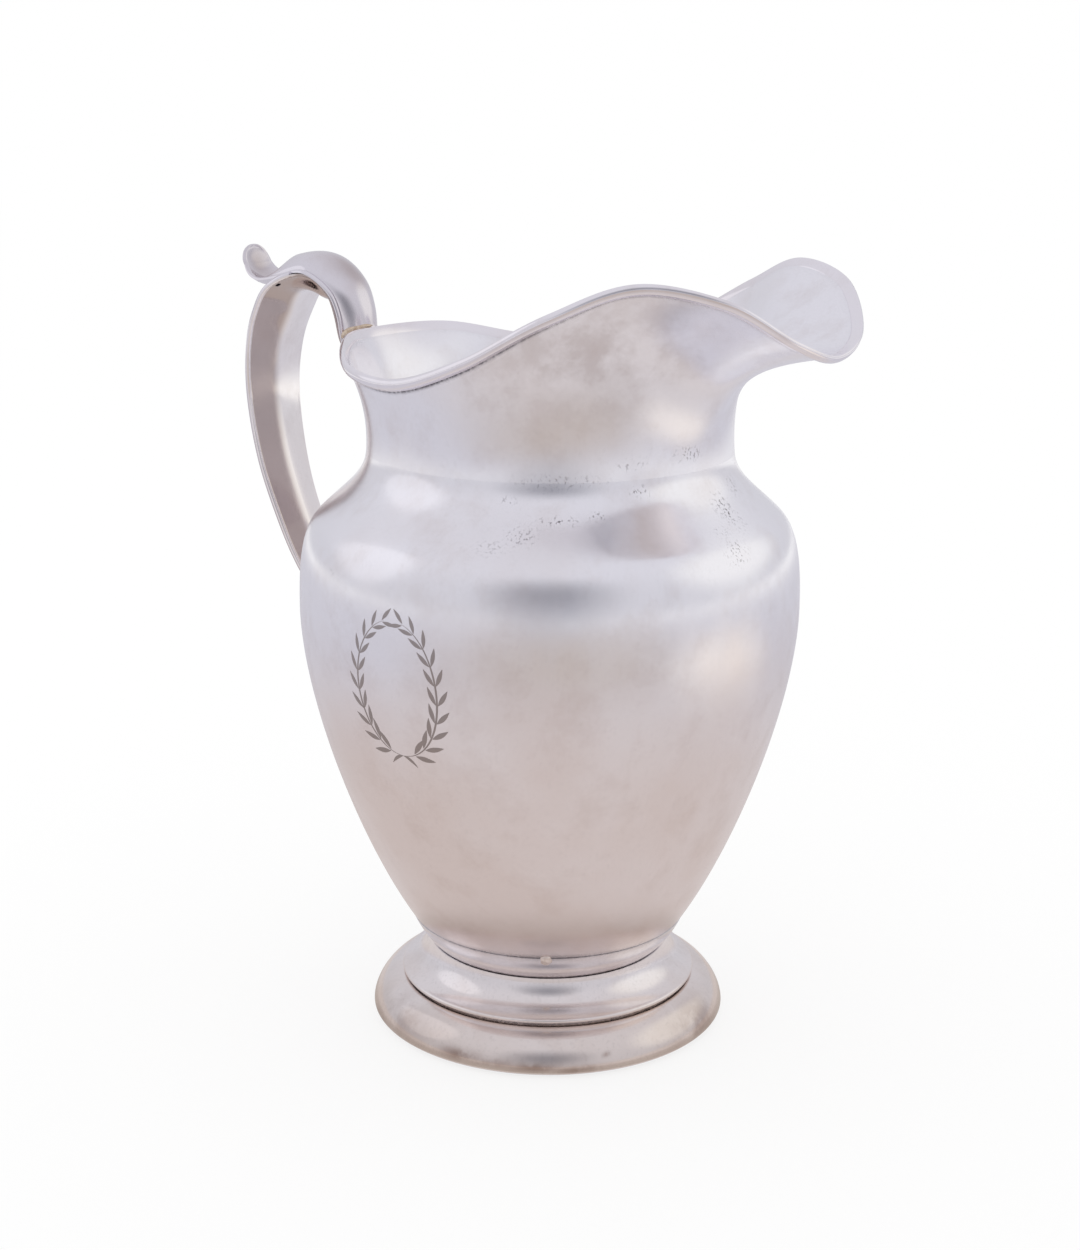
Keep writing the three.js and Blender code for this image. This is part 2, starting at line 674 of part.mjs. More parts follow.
// Solder left where the scroll meets the rim, and where the collar strip closes
function rimSolderSection(y) {
  const turn = 180 - Math.asin(y / rimBack.reach) / degrees;
  const reach = aroundMouth('reach', turn) + rimSolderOut;
  const rim = onTurn(new THREE.Vector2(reach, aroundMouth('height', turn) + rimSolderUp), turn);
  const share = (y - rimSolderSide) / rimSolderHalfLength;
  const size = rimSolderRadius * Math.sqrt(Math.max(1 - share ** 2, 0.06));
  return Array.from({ length: wireSides }, (_, i) => {
    const a = (i / wireSides) * 2 * Math.PI;
    return new THREE.Vector3(rim.x + size * Math.cos(a), y, rim.z + size * Math.sin(a));
  });
}
const solderRows = Array.from({ length: 11 }, (_, i) => rimSolderSide + rimSolderHalfLength * (i / 5 - 1));
const rimSolderBlank = solid(loft(solderRows.map(rimSolderSection), false, false));
const rimSolderTrimmed = rimSolderBlank.subtract(scrollFilled).subtract(wireFilled).subtract(neckFilled);
const rimSolderShape = biggestBody(rimSolderTrimmed);

const collarSolderGeometry = new THREE.SphereGeometry(1, 12, 8);
collarSolderGeometry.scale(collarSolderProud + 1, collarSolderHalfWidth, collarSolderHalfHeight);
const collarSlope = Math.atan2(collarTopRadius - collarFootRadius, collarTopZ - collarFootZ);
collarSolderGeometry.rotateY(collarSlope);
collarSolderGeometry.translate(collarTopRadius - collarSolderIn, 0, collarTopZ - collarSolderDrop);
collarSolderGeometry.rotateZ(collarSolderTurn * degrees);
const collarFilledOutline = offsetCurve(collarOutline(), -seamGap);
const collarFilled = solid(turned([
  new THREE.Vector2(0, collarFilledOutline[0].y),
  ...collarFilledOutline,
  new THREE.Vector2(collarTopRadius + seamGap, collarTopZ),
  new THREE.Vector2(0, collarTopZ),
]));
const collarSolderShape = biggestBody(
  solid(outward(weld(collarSolderGeometry))).subtract(collarFilled).subtract(bowlFilled),
);

// Assembly, with the origin under the middle of its length
const pitcher = new THREE.Group();

function add(name, geometry, color, roughness) {
  const material = new THREE.MeshStandardMaterial({ color, roughness, metalness: 1 });
  const mesh = new THREE.Mesh(geometry, material);
  mesh.name = name;
  pitcher.add(mesh);
}

add('body_bowl', bowlGeometry, '#c9c3c6', 0.16);
add('neck_spout', neckGeometry, '#cfcad0', 0.14);
add('rim_wire', wireGeometry, '#d2cdd0', 0.16);
add('foot_collar', collarGeometry, '#c8bdb6', 0.2);
add('foot_dome', domeGeometry, '#cbc6c9', 0.18);
add('foot_moulding', mouldingGeometry, '#c9c0bd', 0.2);
add('foot_bearing_ring', bearingGeometry, '#a89a8e', 0.35);
add('handle_face', geometryOf(faceShape), '#b9aba4', 0.16);
add('handle_back', geometryOf(backShape), '#c9c3ca', 0.16);
add('handle_scroll', geometryOf(scrollShape), '#cbc6cc', 0.15);
add('handle_rim_solder', geometryOf(rimSolderShape), '#b9a283', 0.45);
add('collar_seam_solder', geometryOf(collarSolderShape), '#bfae9c', 0.4);

const length = new THREE.Box3().setFromObject(pitcher);
pitcher.position.x = -(length.min.x + length.max.x) / 2;

export default pitcher;
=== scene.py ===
from math import atan2, cos, degrees, exp, hypot, pi, radians, sin, sqrt
import bpy
from mathutils import Matrix, Vector


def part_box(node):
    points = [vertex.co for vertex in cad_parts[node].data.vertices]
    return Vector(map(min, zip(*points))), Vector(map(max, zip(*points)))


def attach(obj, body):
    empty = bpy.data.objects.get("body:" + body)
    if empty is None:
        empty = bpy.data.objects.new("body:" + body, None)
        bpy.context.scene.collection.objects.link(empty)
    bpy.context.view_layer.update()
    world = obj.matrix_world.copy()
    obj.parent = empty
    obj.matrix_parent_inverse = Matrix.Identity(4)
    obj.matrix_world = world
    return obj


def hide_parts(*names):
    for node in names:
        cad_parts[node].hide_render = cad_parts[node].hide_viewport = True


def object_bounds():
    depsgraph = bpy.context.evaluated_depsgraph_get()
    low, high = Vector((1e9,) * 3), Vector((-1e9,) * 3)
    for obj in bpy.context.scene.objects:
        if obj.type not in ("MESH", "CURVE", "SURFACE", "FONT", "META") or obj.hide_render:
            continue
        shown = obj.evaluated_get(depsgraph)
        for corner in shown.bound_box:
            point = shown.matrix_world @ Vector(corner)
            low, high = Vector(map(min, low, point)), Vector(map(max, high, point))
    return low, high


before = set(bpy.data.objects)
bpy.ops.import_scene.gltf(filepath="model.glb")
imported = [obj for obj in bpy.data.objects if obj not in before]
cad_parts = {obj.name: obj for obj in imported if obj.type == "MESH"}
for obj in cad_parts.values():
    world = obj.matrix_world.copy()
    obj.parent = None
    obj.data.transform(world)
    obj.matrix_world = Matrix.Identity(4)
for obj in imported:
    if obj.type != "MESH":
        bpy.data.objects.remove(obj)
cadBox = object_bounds()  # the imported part's box, before anything is dressed
print("frame:", len(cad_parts), "nodes loaded")

mm = 0.001
nearTurn = -57  # degrees round the axis from the spout to the side that faces the camera
rubbedShare = 0.12  # of the tarnish in a joint, left where the cloth reached
standLow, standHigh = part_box("foot_bearing_ring")
axisX = (standLow.x + standHigh.x) / 2  # the bowl's axis, off the frame's origin


# Shared shaping tools

def cubic(a, b, c, d, count):  # points of a cubic curve, both ends included
    row = []
    for i in range(count + 1):
        t = i / count
        s = 1 - t
        row.append(a * s ** 3 + b * 3 * s * s * t + c * 3 * s * t * t + d * t ** 3)
    return row


def blend(a, b, startSlope, endSlope, w):  # from a to b with the given slopes at the ends
    return (a * (2 * w ** 3 - 3 * w * w + 1) + startSlope * (w ** 3 - 2 * w * w + w)
            + b * (3 * w * w - 2 * w ** 3) + endSlope * (w ** 3 - w * w))


def leaned(angle):  # unit step in (radius, height), at degrees from upright
    return Vector((sin(radians(angle)), cos(radians(angle))))


def offsetRow(row, distance):  # parallel row on the left of the way it runs
    moved = []
    for i, point in enumerate(row):
        along = (row[min(i + 1, len(row) - 1)] - row[max(i - 1, 0)]).normalized()
        moved.append(point + Vector((-along.y, along.x)) * distance)
    return moved


def smooth(t):
    t = min(max(t, 0), 1)
    return t * t * (3 - 2 * t)


def deselect():
    bpy.ops.object.select_all(action="DESELECT")


def finishMesh(piece, name, sharpAngle):  # closes doubles, faces outward, place kept in the mesh
    piece.name = name
    piece.data.name = name
    bpy.ops.object.mode_set(mode="EDIT")
    bpy.ops.mesh.select_all(action="SELECT")
    bpy.ops.mesh.remove_doubles(threshold=1e-6)
    bpy.ops.mesh.fill_holes(sides=0)
    bpy.ops.mesh.select_all(action="SELECT")
    bpy.ops.mesh.normals_make_consistent(inside=False)
    bpy.ops.object.mode_set(mode="OBJECT")
    bpy.ops.object.transform_apply(location=True, rotation=True, scale=True)
    bpy.ops.object.shade_smooth_by_angle(angle=radians(sharpAngle))
    return piece


def turnedPiece(name, profile, steps, sharpAngle=35):  # profile in mm, spun round the bowl's axis
    deselect()
    start = profile[0]
    bpy.ops.mesh.primitive_plane_add(size=mm, location=(axisX + start.x * mm, 0, start.y * mm))
    piece = bpy.context.object
    bpy.ops.object.mode_set(mode="EDIT")
    bpy.ops.mesh.select_all(action="SELECT")
    bpy.ops.mesh.merge(type="CENTER")
    for before, after in zip(profile, profile[1:]):
        step = (after - before) * mm
        bpy.ops.mesh.extrude_region_move(TRANSFORM_OT_translate={"value": (step.x, 0, step.y)})
    bpy.ops.mesh.select_all(action="SELECT")
    bpy.ops.mesh.remove_doubles(threshold=1e-6)
    bpy.ops.mesh.spin(steps=steps, angle=2 * pi, center=(axisX, 0, 0), axis=(0, 0, 1))
    return finishMesh(piece, name, sharpAngle)


def skinnedPiece(name, sections, looped, sharpAngle=35):  # grid laid over closed sections in mm
    rows = len(sections)
    count = len(sections[0])
    steps = rows if looped else rows - 1
    deselect()
    bpy.ops.mesh.primitive_grid_add(x_subdivisions=count, y_subdivisions=steps, size=2)
    piece = bpy.context.object
    for vertex in piece.data.vertices:
        column = round((vertex.co.x + 1) / 2 * count) % count
        row = round((vertex.co.y + 1) / 2 * steps) % rows
        place = sections[row][column]
        vertex.co = (axisX + place.x * mm, place.y * mm, place.z * mm)
    return finishMesh(piece, name, sharpAngle)


def dress(piece, node, material):  # rides on the part and stands for its CAD node
    piece.data.materials.clear()
    piece.data.materials.append(material)
    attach(piece, "root")
    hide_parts(node)
    print("piece:", piece.name, len(piece.data.polygons), "faces")


def turnOf(place):  # degrees round the axis from the spout
    return degrees(atan2(place.y, place.x))


def paint(piece, layerName, amountAt):  # amount at each point, from its place in mm from the bowl's axis
    layer = piece.data.attributes.new(layerName, "FLOAT", "POINT")
    for vertex, value in zip(piece.data.vertices, layer.data):
        value.value = amountAt(Vector((vertex.co.x - axisX, vertex.co.y, vertex.co.z)) / mm)


def paintGrimeAndShade(piece, lines, spread=0):  # tarnish left in joints, and painted shade where a seam's gap is closed up, near (radius, height, reach, amount) in mm
    def amountAt(place):
        radius = hypot(place.x, place.y)
        amount = 0
        for lineRadius, lineHeight, reach, most in lines:
            away = hypot(radius - lineRadius, place.z - lineHeight) / reach
            amount = max(amount, most * exp(-away * away))
        if spread:  # the cloth left most of it under the spout's near side
            nearness = exp(-((turnOf(place) - nearTurn) / spread) ** 2)
            amount *= rubbedShare + (1 - rubbedShare) * nearness
        return amount

    paint(piece, "grimeAndShade", amountAt)


def paintSpots(piece, layerName, spots):  # soft spots by (turn, height, reach across, reach up, amount)
    def amountAt(place):
        radius = hypot(place.x, place.y)
        turn = turnOf(place)
        amount = 0
        for spotTurn, spotHeight, wide, tall, most in spots:
            across = radius * radians((turn - spotTurn + 180) % 360 - 180) / wide
            up = (place.z - spotHeight) / tall
            amount = max(amount, most * exp(-across * across - up * up))
        return amount

    paint(piece, layerName, amountAt)


# Materials

def linear(hexColour):  # sRGB hex to the linear colour that shaders take
    parts = [int(hexColour[i:i + 2], 16) / 255 for i in (1, 3, 5)]
    return [p / 12.92 if p <= 0.04045 else ((p + 0.055) / 1.055) ** 2.4 for p in parts] + [1]


def addNode(tree, kind, inputs=None, **settings):  # one node, its settings, values and links
    made = tree.nodes.new("ShaderNode" + kind)
    for key, value in settings.items():
        setattr(made, key, value)
    for key, value in (inputs or {}).items():
        if isinstance(value, bpy.types.NodeSocket):
            tree.links.new(value, made.inputs[key])
        else:
            made.inputs[key].default_value = value
    return made


def newMaterial(name):
    material = bpy.data.materials.new(name)
    material.use_nodes = True
    tree = material.node_tree
    tree.nodes.clear()
    return material, tree


# Polished sterling, hand rubbed for decades: a cool bright metal under a thin warm tarnish, warmer low down,
# where the warmth is partly tarnish and partly a painted reflection of a warm table, with a haze of fine
# scratches and a few pits
silverLook = {
    "cool": "#f6f4f8", "warm": "#e6dbd8", "stain": "#b49a8a", "grimeAndShade": "#55515a", "pit": "#5b5457",
    "soil": "#8b6f60", "warmBelow": 60, "coolAbove": 165,  # mm
    "cloud": 48, "blotch": 13, "pitSize": 0.85, "wave": 30, "smear": 9,  # mm
    "scratch": 0.5,  # mm, coarser than real ones so that they show
    "waveDepth": 0.06, "scratchDepth": 0.0005, "dentDepth": 0.05,  # mm
    "roughLow": 0.18, "roughHigh": 0.27, "specks": 0.03, "soilFrom": 0.38,
}


def silver(name, **changes):
    look = {**silverLook, **changes}
    material, tree = newMaterial(name)
    place = addNode(tree, "TexCoord").outputs["Object"]
    height = addNode(tree, "SeparateXYZ", {0: place}).outputs["Z"]
    turned = addNode(tree, "Mapping", {
        "Vector": place, "Rotation": (0.5, 0.9, 0.3), "Scale": (1, 1, 0.7)}).outputs[0]
    rubbed = addNode(tree, "Mapping", {
        "Vector": place, "Rotation": (0.4, 0.3, 0.2), "Scale": (1, 1, 0.12)}).outputs[0]
    noise = {}
    for key, spot, detail, roughness in (
            ("cloud", place, 3, 0.55), ("blotch", place, 6, 0.62), ("pitSize", turned, 3, 0.6),
            ("scratch", rubbed, 4, 0.7), ("smear", rubbed, 4, 0.6), ("wave", place, 1, 0.4)):
        noise[key] = addNode(tree, "TexNoise", {
            "Vector": spot, "Scale": 1 / (look[key] * mm), "Detail": detail,
            "Roughness": roughness}).outputs["Fac"]
    span = {}
    for key, source, low, high, start, end in (
            ("drift", "cloud", 0.35, 0.65, -0.22, 0.22),  # warmer and cooler clouds
            ("stain", "blotch", 0.5, 0.76, 0, 0.16),
            ("ragged", "blotch", look["soilFrom"], look["soilFrom"] + 0.2, 0, 1),  # where the soil and the painted shade lie on
            ("dots", "pitSize", 0.555, 0.64, 0, 1),
            ("broken", "pitSize", 0.36, 0.56, 0.45, 1),  # thin places in the tarnish of a joint
            ("haze", "smear", 0.3, 0.7, look["roughLow"], look["roughHigh"])):
        span[key] = addNode(tree, "MapRange", {
            "Value": noise[source], "From Min": low, "From Max": high,
            "To Min": start, "To Max": end}).outputs["Result"]
    painted = {}
    for key in ("soil", "wear", "grimeAndShade"):
        painted[key] = addNode(tree, "Attribute", attribute_name=key).outputs["Fac"]
    # warmer low down: partly tarnish, partly a painted reflection of a warm table
    lowDown = addNode(tree, "MapRange", {
        "Value": height, "From Min": look["warmBelow"] * mm, "From Max": look["coolAbove"] * mm,
        "To Min": 1, "To Max": 0}, interpolation_type="SMOOTHSTEP").outputs["Result"]
    warmth = addNode(tree, "Math", {0: lowDown, 1: span["drift"]},
                     operation="ADD", use_clamp=True).outputs[0]
    worn = addNode(tree, "Math", {0: painted["wear"], 1: look["specks"]}, operation="MAXIMUM").outputs[0]
    layers = {"warm": warmth, "stain": span["stain"]}
    for key, amount, pattern in (("soil", painted["soil"], "ragged"), ("pit", worn, "dots"),
                                 ("grimeAndShade", painted["grimeAndShade"], "broken")):
        layers[key] = addNode(tree, "Math", {0: amount, 1: span[pattern]}, operation="MULTIPLY").outputs[0]
    colour = linear(look["cool"])
    for key, amount in layers.items():  # each lies over the ones before it
        colour = addNode(tree, "Mix", {0: amount, 6: colour, 7: linear(look[key])},
                         data_type="RGBA").outputs[2]
    rough = addNode(tree, "Math", {0: layers["grimeAndShade"], 1: 0.3, 2: span["haze"]},
                    operation="MULTIPLY_ADD").outputs[0]
    normal = None
    for relief, strength, depth, inward in (
            (noise["wave"], 1, "waveDepth", False), (noise["scratch"], 1, "scratchDepth", False),
            (layers["pit"], 0.6, "dentDepth", True)):
        bump = {"Height": relief, "Strength": strength, "Distance": look[depth] * mm}
        if normal:
            bump["Normal"] = normal
        normal = addNode(tree, "Bump", bump, invert=inward).outputs[0]
    shader = addNode(tree, "BsdfPrincipled", {
        "Base Color": colour, "Metallic": 1, "Roughness": rough, "Normal": normal}).outputs[0]
    addNode(tree, "OutputMaterial", {"Surface": shader})
    return material


# Silver solder, melted and left unpolished: dull, tan, slightly grainy
solderLook = {"grain": 1.6, "lumpDepth": 0.1, "metallic": 0.85, "rough": 0.4}  # grain and depth in mm


def solder(name, light, dark):
    material, tree = newMaterial(name)
    place = addNode(tree, "TexCoord").outputs["Object"]
    grain = addNode(tree, "TexNoise", {
        "Vector": place, "Scale": 1 / (solderLook["grain"] * mm), "Detail": 4,
        "Roughness": 0.6}).outputs["Fac"]
    spread = addNode(tree, "MapRange", {"Value": grain, "From Min": 0.35, "From Max": 0.68})
    colour = addNode(tree, "Mix", {
        0: spread.outputs["Result"], 6: linear(light), 7: linear(dark)}, data_type="RGBA").outputs[2]
    lumps = addNode(tree, "Bump", {
        "Height": grain, "Strength": 0.4, "Distance": solderLook["lumpDepth"] * mm}).outputs[0]
    shader = addNode(tree, "BsdfPrincipled", {
        "Base Color": colour, "Metallic": solderLook["metallic"], "Roughness": solderLook["rough"],
        "Normal": lumps}).outputs[0]
    addNode(tree, "OutputMaterial", {"Surface": shader})
    return material


bodySilver = silver("sterling_rubbed_body")
footSilver = silver("sterling_rubbed_foot", cool="#f5f2f5", warm="#e7dcd6", warmBelow=4, coolAbove=30,
                    roughLow=0.13, roughHigh=0.2, specks=0.07, soilFrom=0.3)
wireSilver = silver("sterling_bright_wire", cool="#f3eff3", warm="#e6dbd7", roughLow=0.09, roughHigh=0.16,
                    specks=0)
handleSilver = silver("sterling_rubbed_handle", cool="#e7e3e9", warm="#d8cac6", roughLow=0.1, roughHigh=0.17,
                      waveDepth=0.03, warmBelow=90, coolAbove=240, soilFrom=0.25)
faceSilver = silver("sterling_tarnished_face", cool="#fcf8f8", warm="#f5ece8", roughLow=0.08, roughHigh=0.14,
                    waveDepth=0.03, warmBelow=90, coolAbove=240, stain="#9c8478", soilFrom=0.08)
baseSilver = silver("sterling_dull_base", cool="#b9aca6", warm="#a8998f", roughLow=0.35, roughHigh=0.5)
engravedSilver = silver("sterling_engraved_dark", cool="#a8a09f", warm="#9b908b",
                        roughLow=0.3, roughHigh=0.42)
solderTan = solder("silver_solder_dull", "#e6d6c2", "#c3ab92")
solderGrey = solder("silver_solder_rubbed", "#e6dad4", "#cbbab0")
print("materials made")


# Bowl

bowl = {
    "sheet": 0.75, "radius": 75.1, "widestZ": 132, "edgeRadius": 42.2, "edgeZ": 32.9, "floorDrop": 5.4,
    "flankLean": 34.2, "flankLowPull": 27, "flankHighPull": 29,
    "shoulderRadius": 69, "shoulderZ": 159.5, "shoulderLean": 45.9, "roundPull": 17.1, "turnPull": 5.6,
    "neckRadius": 54.5, "neckZ": 178, "neckLean": 4, "hollowPull": 9.6, "neckPull": 7.6, "steps": 160,
}


def bowlWall():  # outer face from the collar's edge up to the neck
    edge = Vector((bowl["edgeRadius"], bowl["edgeZ"]))
    widest = Vector((bowl["radius"], bowl["widestZ"]))
    shoulder = Vector((bowl["shoulderRadius"], bowl["shoulderZ"]))
    neck = Vector((bowl["neckRadius"], bowl["neckZ"]))
    inward = leaned(-bowl["shoulderLean"])
    flank = cubic(edge, edge + leaned(bowl["flankLean"]) * bowl["flankLowPull"],
                  widest - Vector((0, bowl["flankHighPull"])), widest, 40)
    crown = cubic(widest, widest + Vector((0, bowl["roundPull"])),
                  shoulder - inward * bowl["turnPull"], shoulder, 22)
    hollow = cubic(shoulder, shoulder + inward * bowl["hollowPull"],
                   neck - leaned(-bowl["neckLean"]) * bowl["neckPull"], neck, 20)
    return flank + crown[1:] + hollow[1:]


def bowlFloor():  # round floor from the axis out to the collar's edge
    edge = Vector((bowl["edgeRadius"], bowl["edgeZ"]))
    middle = Vector((0, edge.y - bowl["floorDrop"]))
    pull = edge - leaned(bowl["flankLean"]) * bowl["floorDrop"] * 0.55
    return cubic(middle, Vector((edge.x * 0.7, middle.y)), pull, edge, 14)


bowlOuter = bowlFloor() + bowlWall()[1:]
bowlInner = offsetRow(bowlOuter, bowl["sheet"])
bowlInner[0].x = 0
bowlInner[-1] = Vector((bowl["neckRadius"] - bowl["sheet"], bowl["neckZ"]))
bodyBowl = turnedPiece("bowl", bowlOuter + bowlInner[::-1], bowl["steps"])
# tarnish and painted shade along the closed-up seam to the collar
paintGrimeAndShade(bodyBowl, [(bowl["edgeRadius"], bowl["edgeZ"], 0.3, 0.5)], 34)
wearSpots = [  # knocks and scratches: turn, height, reach across, reach up, amount
    (-11.7, 183.4, 5.5, 1.7, 0.8), (-32.9, 182.4, 4, 1.6, 0.5), (-54.4, 178.4, 11, 1.8, 0.45),  # neck
    (-30.8, 174.8, 2.4, 1.3, 1), (9.4, 171.8, 2.6, 3, 0.9), (-2.5, 166.9, 3.4, 3.6, 1),  # shoulder, right
    (-10.3, 162.9, 1.4, 0.7, 1), (-9.8, 157.4, 3.6, 3, 0.7), (-44.5, 169.5, 2, 0.7, 1),
    (-55.4, 168.3, 5, 1, 0.9), (-64.3, 165, 3.4, 1.8, 0.8), (-71, 162, 4, 1.5, 0.4),  # shoulder, front
    (-69, 173.2, 1.6, 0.8, 0.7), (-112, 149.3, 1.6, 1, 0.8),
]
paintSpots(bodyBowl, "wear", wearSpots)
dress(bodyBowl, "body_bowl", bodySilver)


# Neck, spout and rim wire

mouthKeys = ("turn", "reach", "height", "lean", "rise", "throat")
mouthStations = [  # by the turn from the spout: reach, height, lean of the wall, and how the wall gets there
    (0, 91.2, 211.8, 80, 0.75, 0.58),
    (12, 90.7, 216.7, 74, 0.73, 0.56),
    (25, 84.2, 228, 56, 0.66, 0.54),
    (40, 73, 231.7, 38, 0.55, 0.5),
    (58, 67, 223.4, 26, 0.5, 0.5),
    (80, 61, 210.3, 20, 0.45, 0.5),
    (105, 57.4, 202.2, 18, 0.45, 0.5),
    (130, 59.6, 202.8, 24, 0.45, 0.5),
    (155, 61.2, 207.6, 30, 0.45, 0.5),
    (180, 65, 207.6, 34, 0.45, 0.5),
]
rim = {
    "wireHeight": 3.76, "wireWidth": 3.1, "wireOut": 0.22, "seam": 0.3, "inside": 0.385, "insidePower": 0.45,
    "columns": 224, "rows": 64, "wireSides": 20, "crowding": 0.35,
    "grimeReach": 0.6, "grimeTurn": -92, "grimeSpread": 62, "grimeLeast": 0.2,
}


def aroundMouth(key, turn):  # smooth even function of the turn
    index = mouthKeys.index(key)
    half = abs((turn + 540) % 360 - 180)
    row = [(-s[0], s[index]) for s in mouthStations[:0:-1]]
    row += [(s[0], s[index]) for s in mouthStations]
    row += [(360 - s[0], s[index]) for s in mouthStations[-2::-1]]
    i = 1
    while row[i + 1][0] < half:
        i += 1

    def slope(n):
        return (row[n + 1][1] - row[n - 1][1]) / (row[n + 1][0] - row[n - 1][0])

    width = row[i + 1][0] - row[i][0]
    share = (half - row[i][0]) / width
    return blend(row[i][1], row[i + 1][1], width * slope(i), width * slope(i + 1), share)


def neckWall(turn, stopBelowRim, count):  # outer face of the neck at one turn
    lean = leaned(aroundMouth("lean", turn))
    top = Vector((aroundMouth("reach", turn), aroundMouth("height", turn))) - lean * stopBelowRim
    base = Vector((bowl["neckRadius"], bowl["neckZ"]))
    rise = top.y - base.y
    out = max(top.x - base.x, 4)
    low = base + leaned(-bowl["neckLean"]) * rise * aroundMouth("rise", turn)
    pull = min(out / max(lean.x, 0.2), rise / max(lean.y, 0.2))
    return cubic(base, low, top - lean * pull * aroundMouth("throat", turn), top, count)


def onTurn(point, turn):
    angle = radians(turn)
    return Vector((point.x * cos(angle), point.x * sin(angle), point.y))


def mouthTurns(count):  # closer together at the spout
    turns = []
    for i in range(count):
        u = i / count * 2 * pi
        turns.append(degrees(u - rim["crowding"] * sin(u)))
    return turns


def neckSection(turn):
    outer = neckWall(turn, rim["wireHeight"] / 2 - rim["seam"], rim["rows"])
    inner = offsetRow(outer, bowl["sheet"])
    inner[0] = Vector((bowl["neckRadius"] - bowl["sheet"], bowl["neckZ"]))
    return [onTurn(p, turn) for p in outer + inner[::-1]]


def wireSection(turn, sides):
    up = leaned(aroundMouth("lean", turn))
    out = Vector((up.y, -up.x))
    middle = Vector((aroundMouth("reach", turn), aroundMouth("height", turn)))
    middle += out * (rim["wireOut"] - bowl["sheet"] / 2)
    section = []
    for i in range(sides):
        a = i / sides * 2 * pi
        across = cos(a)
        if across < 0:
            across = -rim["inside"] * abs(across) ** rim["insidePower"]  # filed flush inside
        section.append(onTurn(middle + out * rim["wireWidth"] / 2 * across
                              + up * rim["wireHeight"] / 2 * sin(a), turn))
    return section


def neckGrimeAt(place):  # a line below the rim wire, most of it on the near side
    turn = turnOf(place)
    edge = Vector((aroundMouth("reach", turn), aroundMouth("height", turn)))
    edge -= leaned(aroundMouth("lean", turn)) * rim["wireHeight"] / 2
    away = (Vector((hypot(place.x, place.y), place.z)) - edge).length / rim["grimeReach"]
    side = exp(-((turn - rim["grimeTurn"]) / rim["grimeSpread"]) ** 2)
    return (rim["grimeLeast"] + (1 - rim["grimeLeast"]) * side) * exp(-away * away)


turns = mouthTurns(rim["columns"])
neck = skinnedPiece("neck_and_spout", [neckSection(turn) for turn in turns], True)
paint(neck, "grimeAndShade", neckGrimeAt)
paintSpots(neck, "wear", wearSpots)
# painted shade: two darker spots on the neck's top, in place of a darker reflection there
paintSpots(neck, "soil", [(-46, 214, 28, 13, 0.26), (-70, 205, 14, 8, 0.15)])
dress(neck, "neck_spout", bodySilver)
wire = skinnedPiece("rim_bead", [wireSection(turn, rim["wireSides"]) for turn in turns], True)
dress(wire, "rim_wire", wireSilver)


# Foot: collar, dome, base moulding and the ring that it stands on

foot = {
    "collarFootRadius": 36.4, "collarFootZ": 24.1, "collarTopRadius": 42.4, "collarTopZ": 32.9,
    "collarWall": 1.2, "collarBulge": 0.5, "seam": 0.06,
    "domeWall": 1, "domeBore": 33.6, "lipRadius": 45.7, "lipHeight": 1.5,
    "grooveRadius": 44.3, "grooveZ": 13, "grooveHalf": 0.28, "flange": 2.4,
    "radius": 54.9, "widestZ": 2.7, "wall": 1, "topPull": 0.62, "sidePull": 0.32,
    "bearingRadius": 52, "bearingWidth": 4.2, "bearingHeight": 0.6, "steps": 160,
}


def collarProfile():
    low = Vector((foot["collarFootRadius"], foot["collarFootZ"]))
    top = Vector((foot["collarTopRadius"], foot["collarTopZ"] - foot["seam"]))
    along = top - low
    side = Vector((along.y, -along.x)).normalized()
    outer = []
    for t in (0, 0.02, 0.05, 0.1, 0.18, 0.28, 0.4, 0.52, 0.64, 0.76, 0.86, 0.93, 0.965, 0.985, 1):
        outer.append(low + along * t + side * foot["collarBulge"] * 4 * t * (1 - t))
    lip = [top + Vector((-0.12, 0.1))]  # edge rounded over by polishing
    inside = [Vector((top.x - foot["collarWall"], top.y - 0.8)), Vector((low.x - foot["collarWall"], low.y))]
    return outer + lip + inside + [outer[0]]


def domeProfile():
    top = Vector((foot["collarFootRadius"] + 0.5, foot["collarFootZ"] - 0.12))
    lipRound = foot["lipHeight"] / 2
    lipMiddle = Vector((foot["lipRadius"] - lipRound, foot["grooveZ"] + foot["grooveHalf"] + lipRound))
    lipTop = lipMiddle + Vector((-0.1, lipRound))
    cove = cubic(top, Vector((top.x + 0.6, top.y - (top.y - lipTop.y) * 0.55)),
                 Vector((lipTop.x - (lipTop.x - top.x) * 0.55, lipTop.y + 1.3)), lipTop, 26)
    lip = [lipMiddle + Vector((sin(a), cos(a))) * lipRound
           for a in [radians(15 * i) for i in range(1, 12)]]
    groove = foot["grooveRadius"]
    under = [Vector((groove, foot["grooveZ"] + foot["grooveHalf"])), Vector((groove, foot["grooveZ"])),
             Vector((groove - foot["flange"], foot["grooveZ"]))]
    inner = [p for p in offsetRow(cove, -foot["domeWall"])[::-1]
             if foot["domeBore"] < p.x < groove - foot["flange"]]
    bore = [Vector((foot["domeBore"], top.y - foot["domeWall"])), Vector((foot["domeBore"], top.y))]
    return cove + lip + under + inner + bore + [cove[0]]


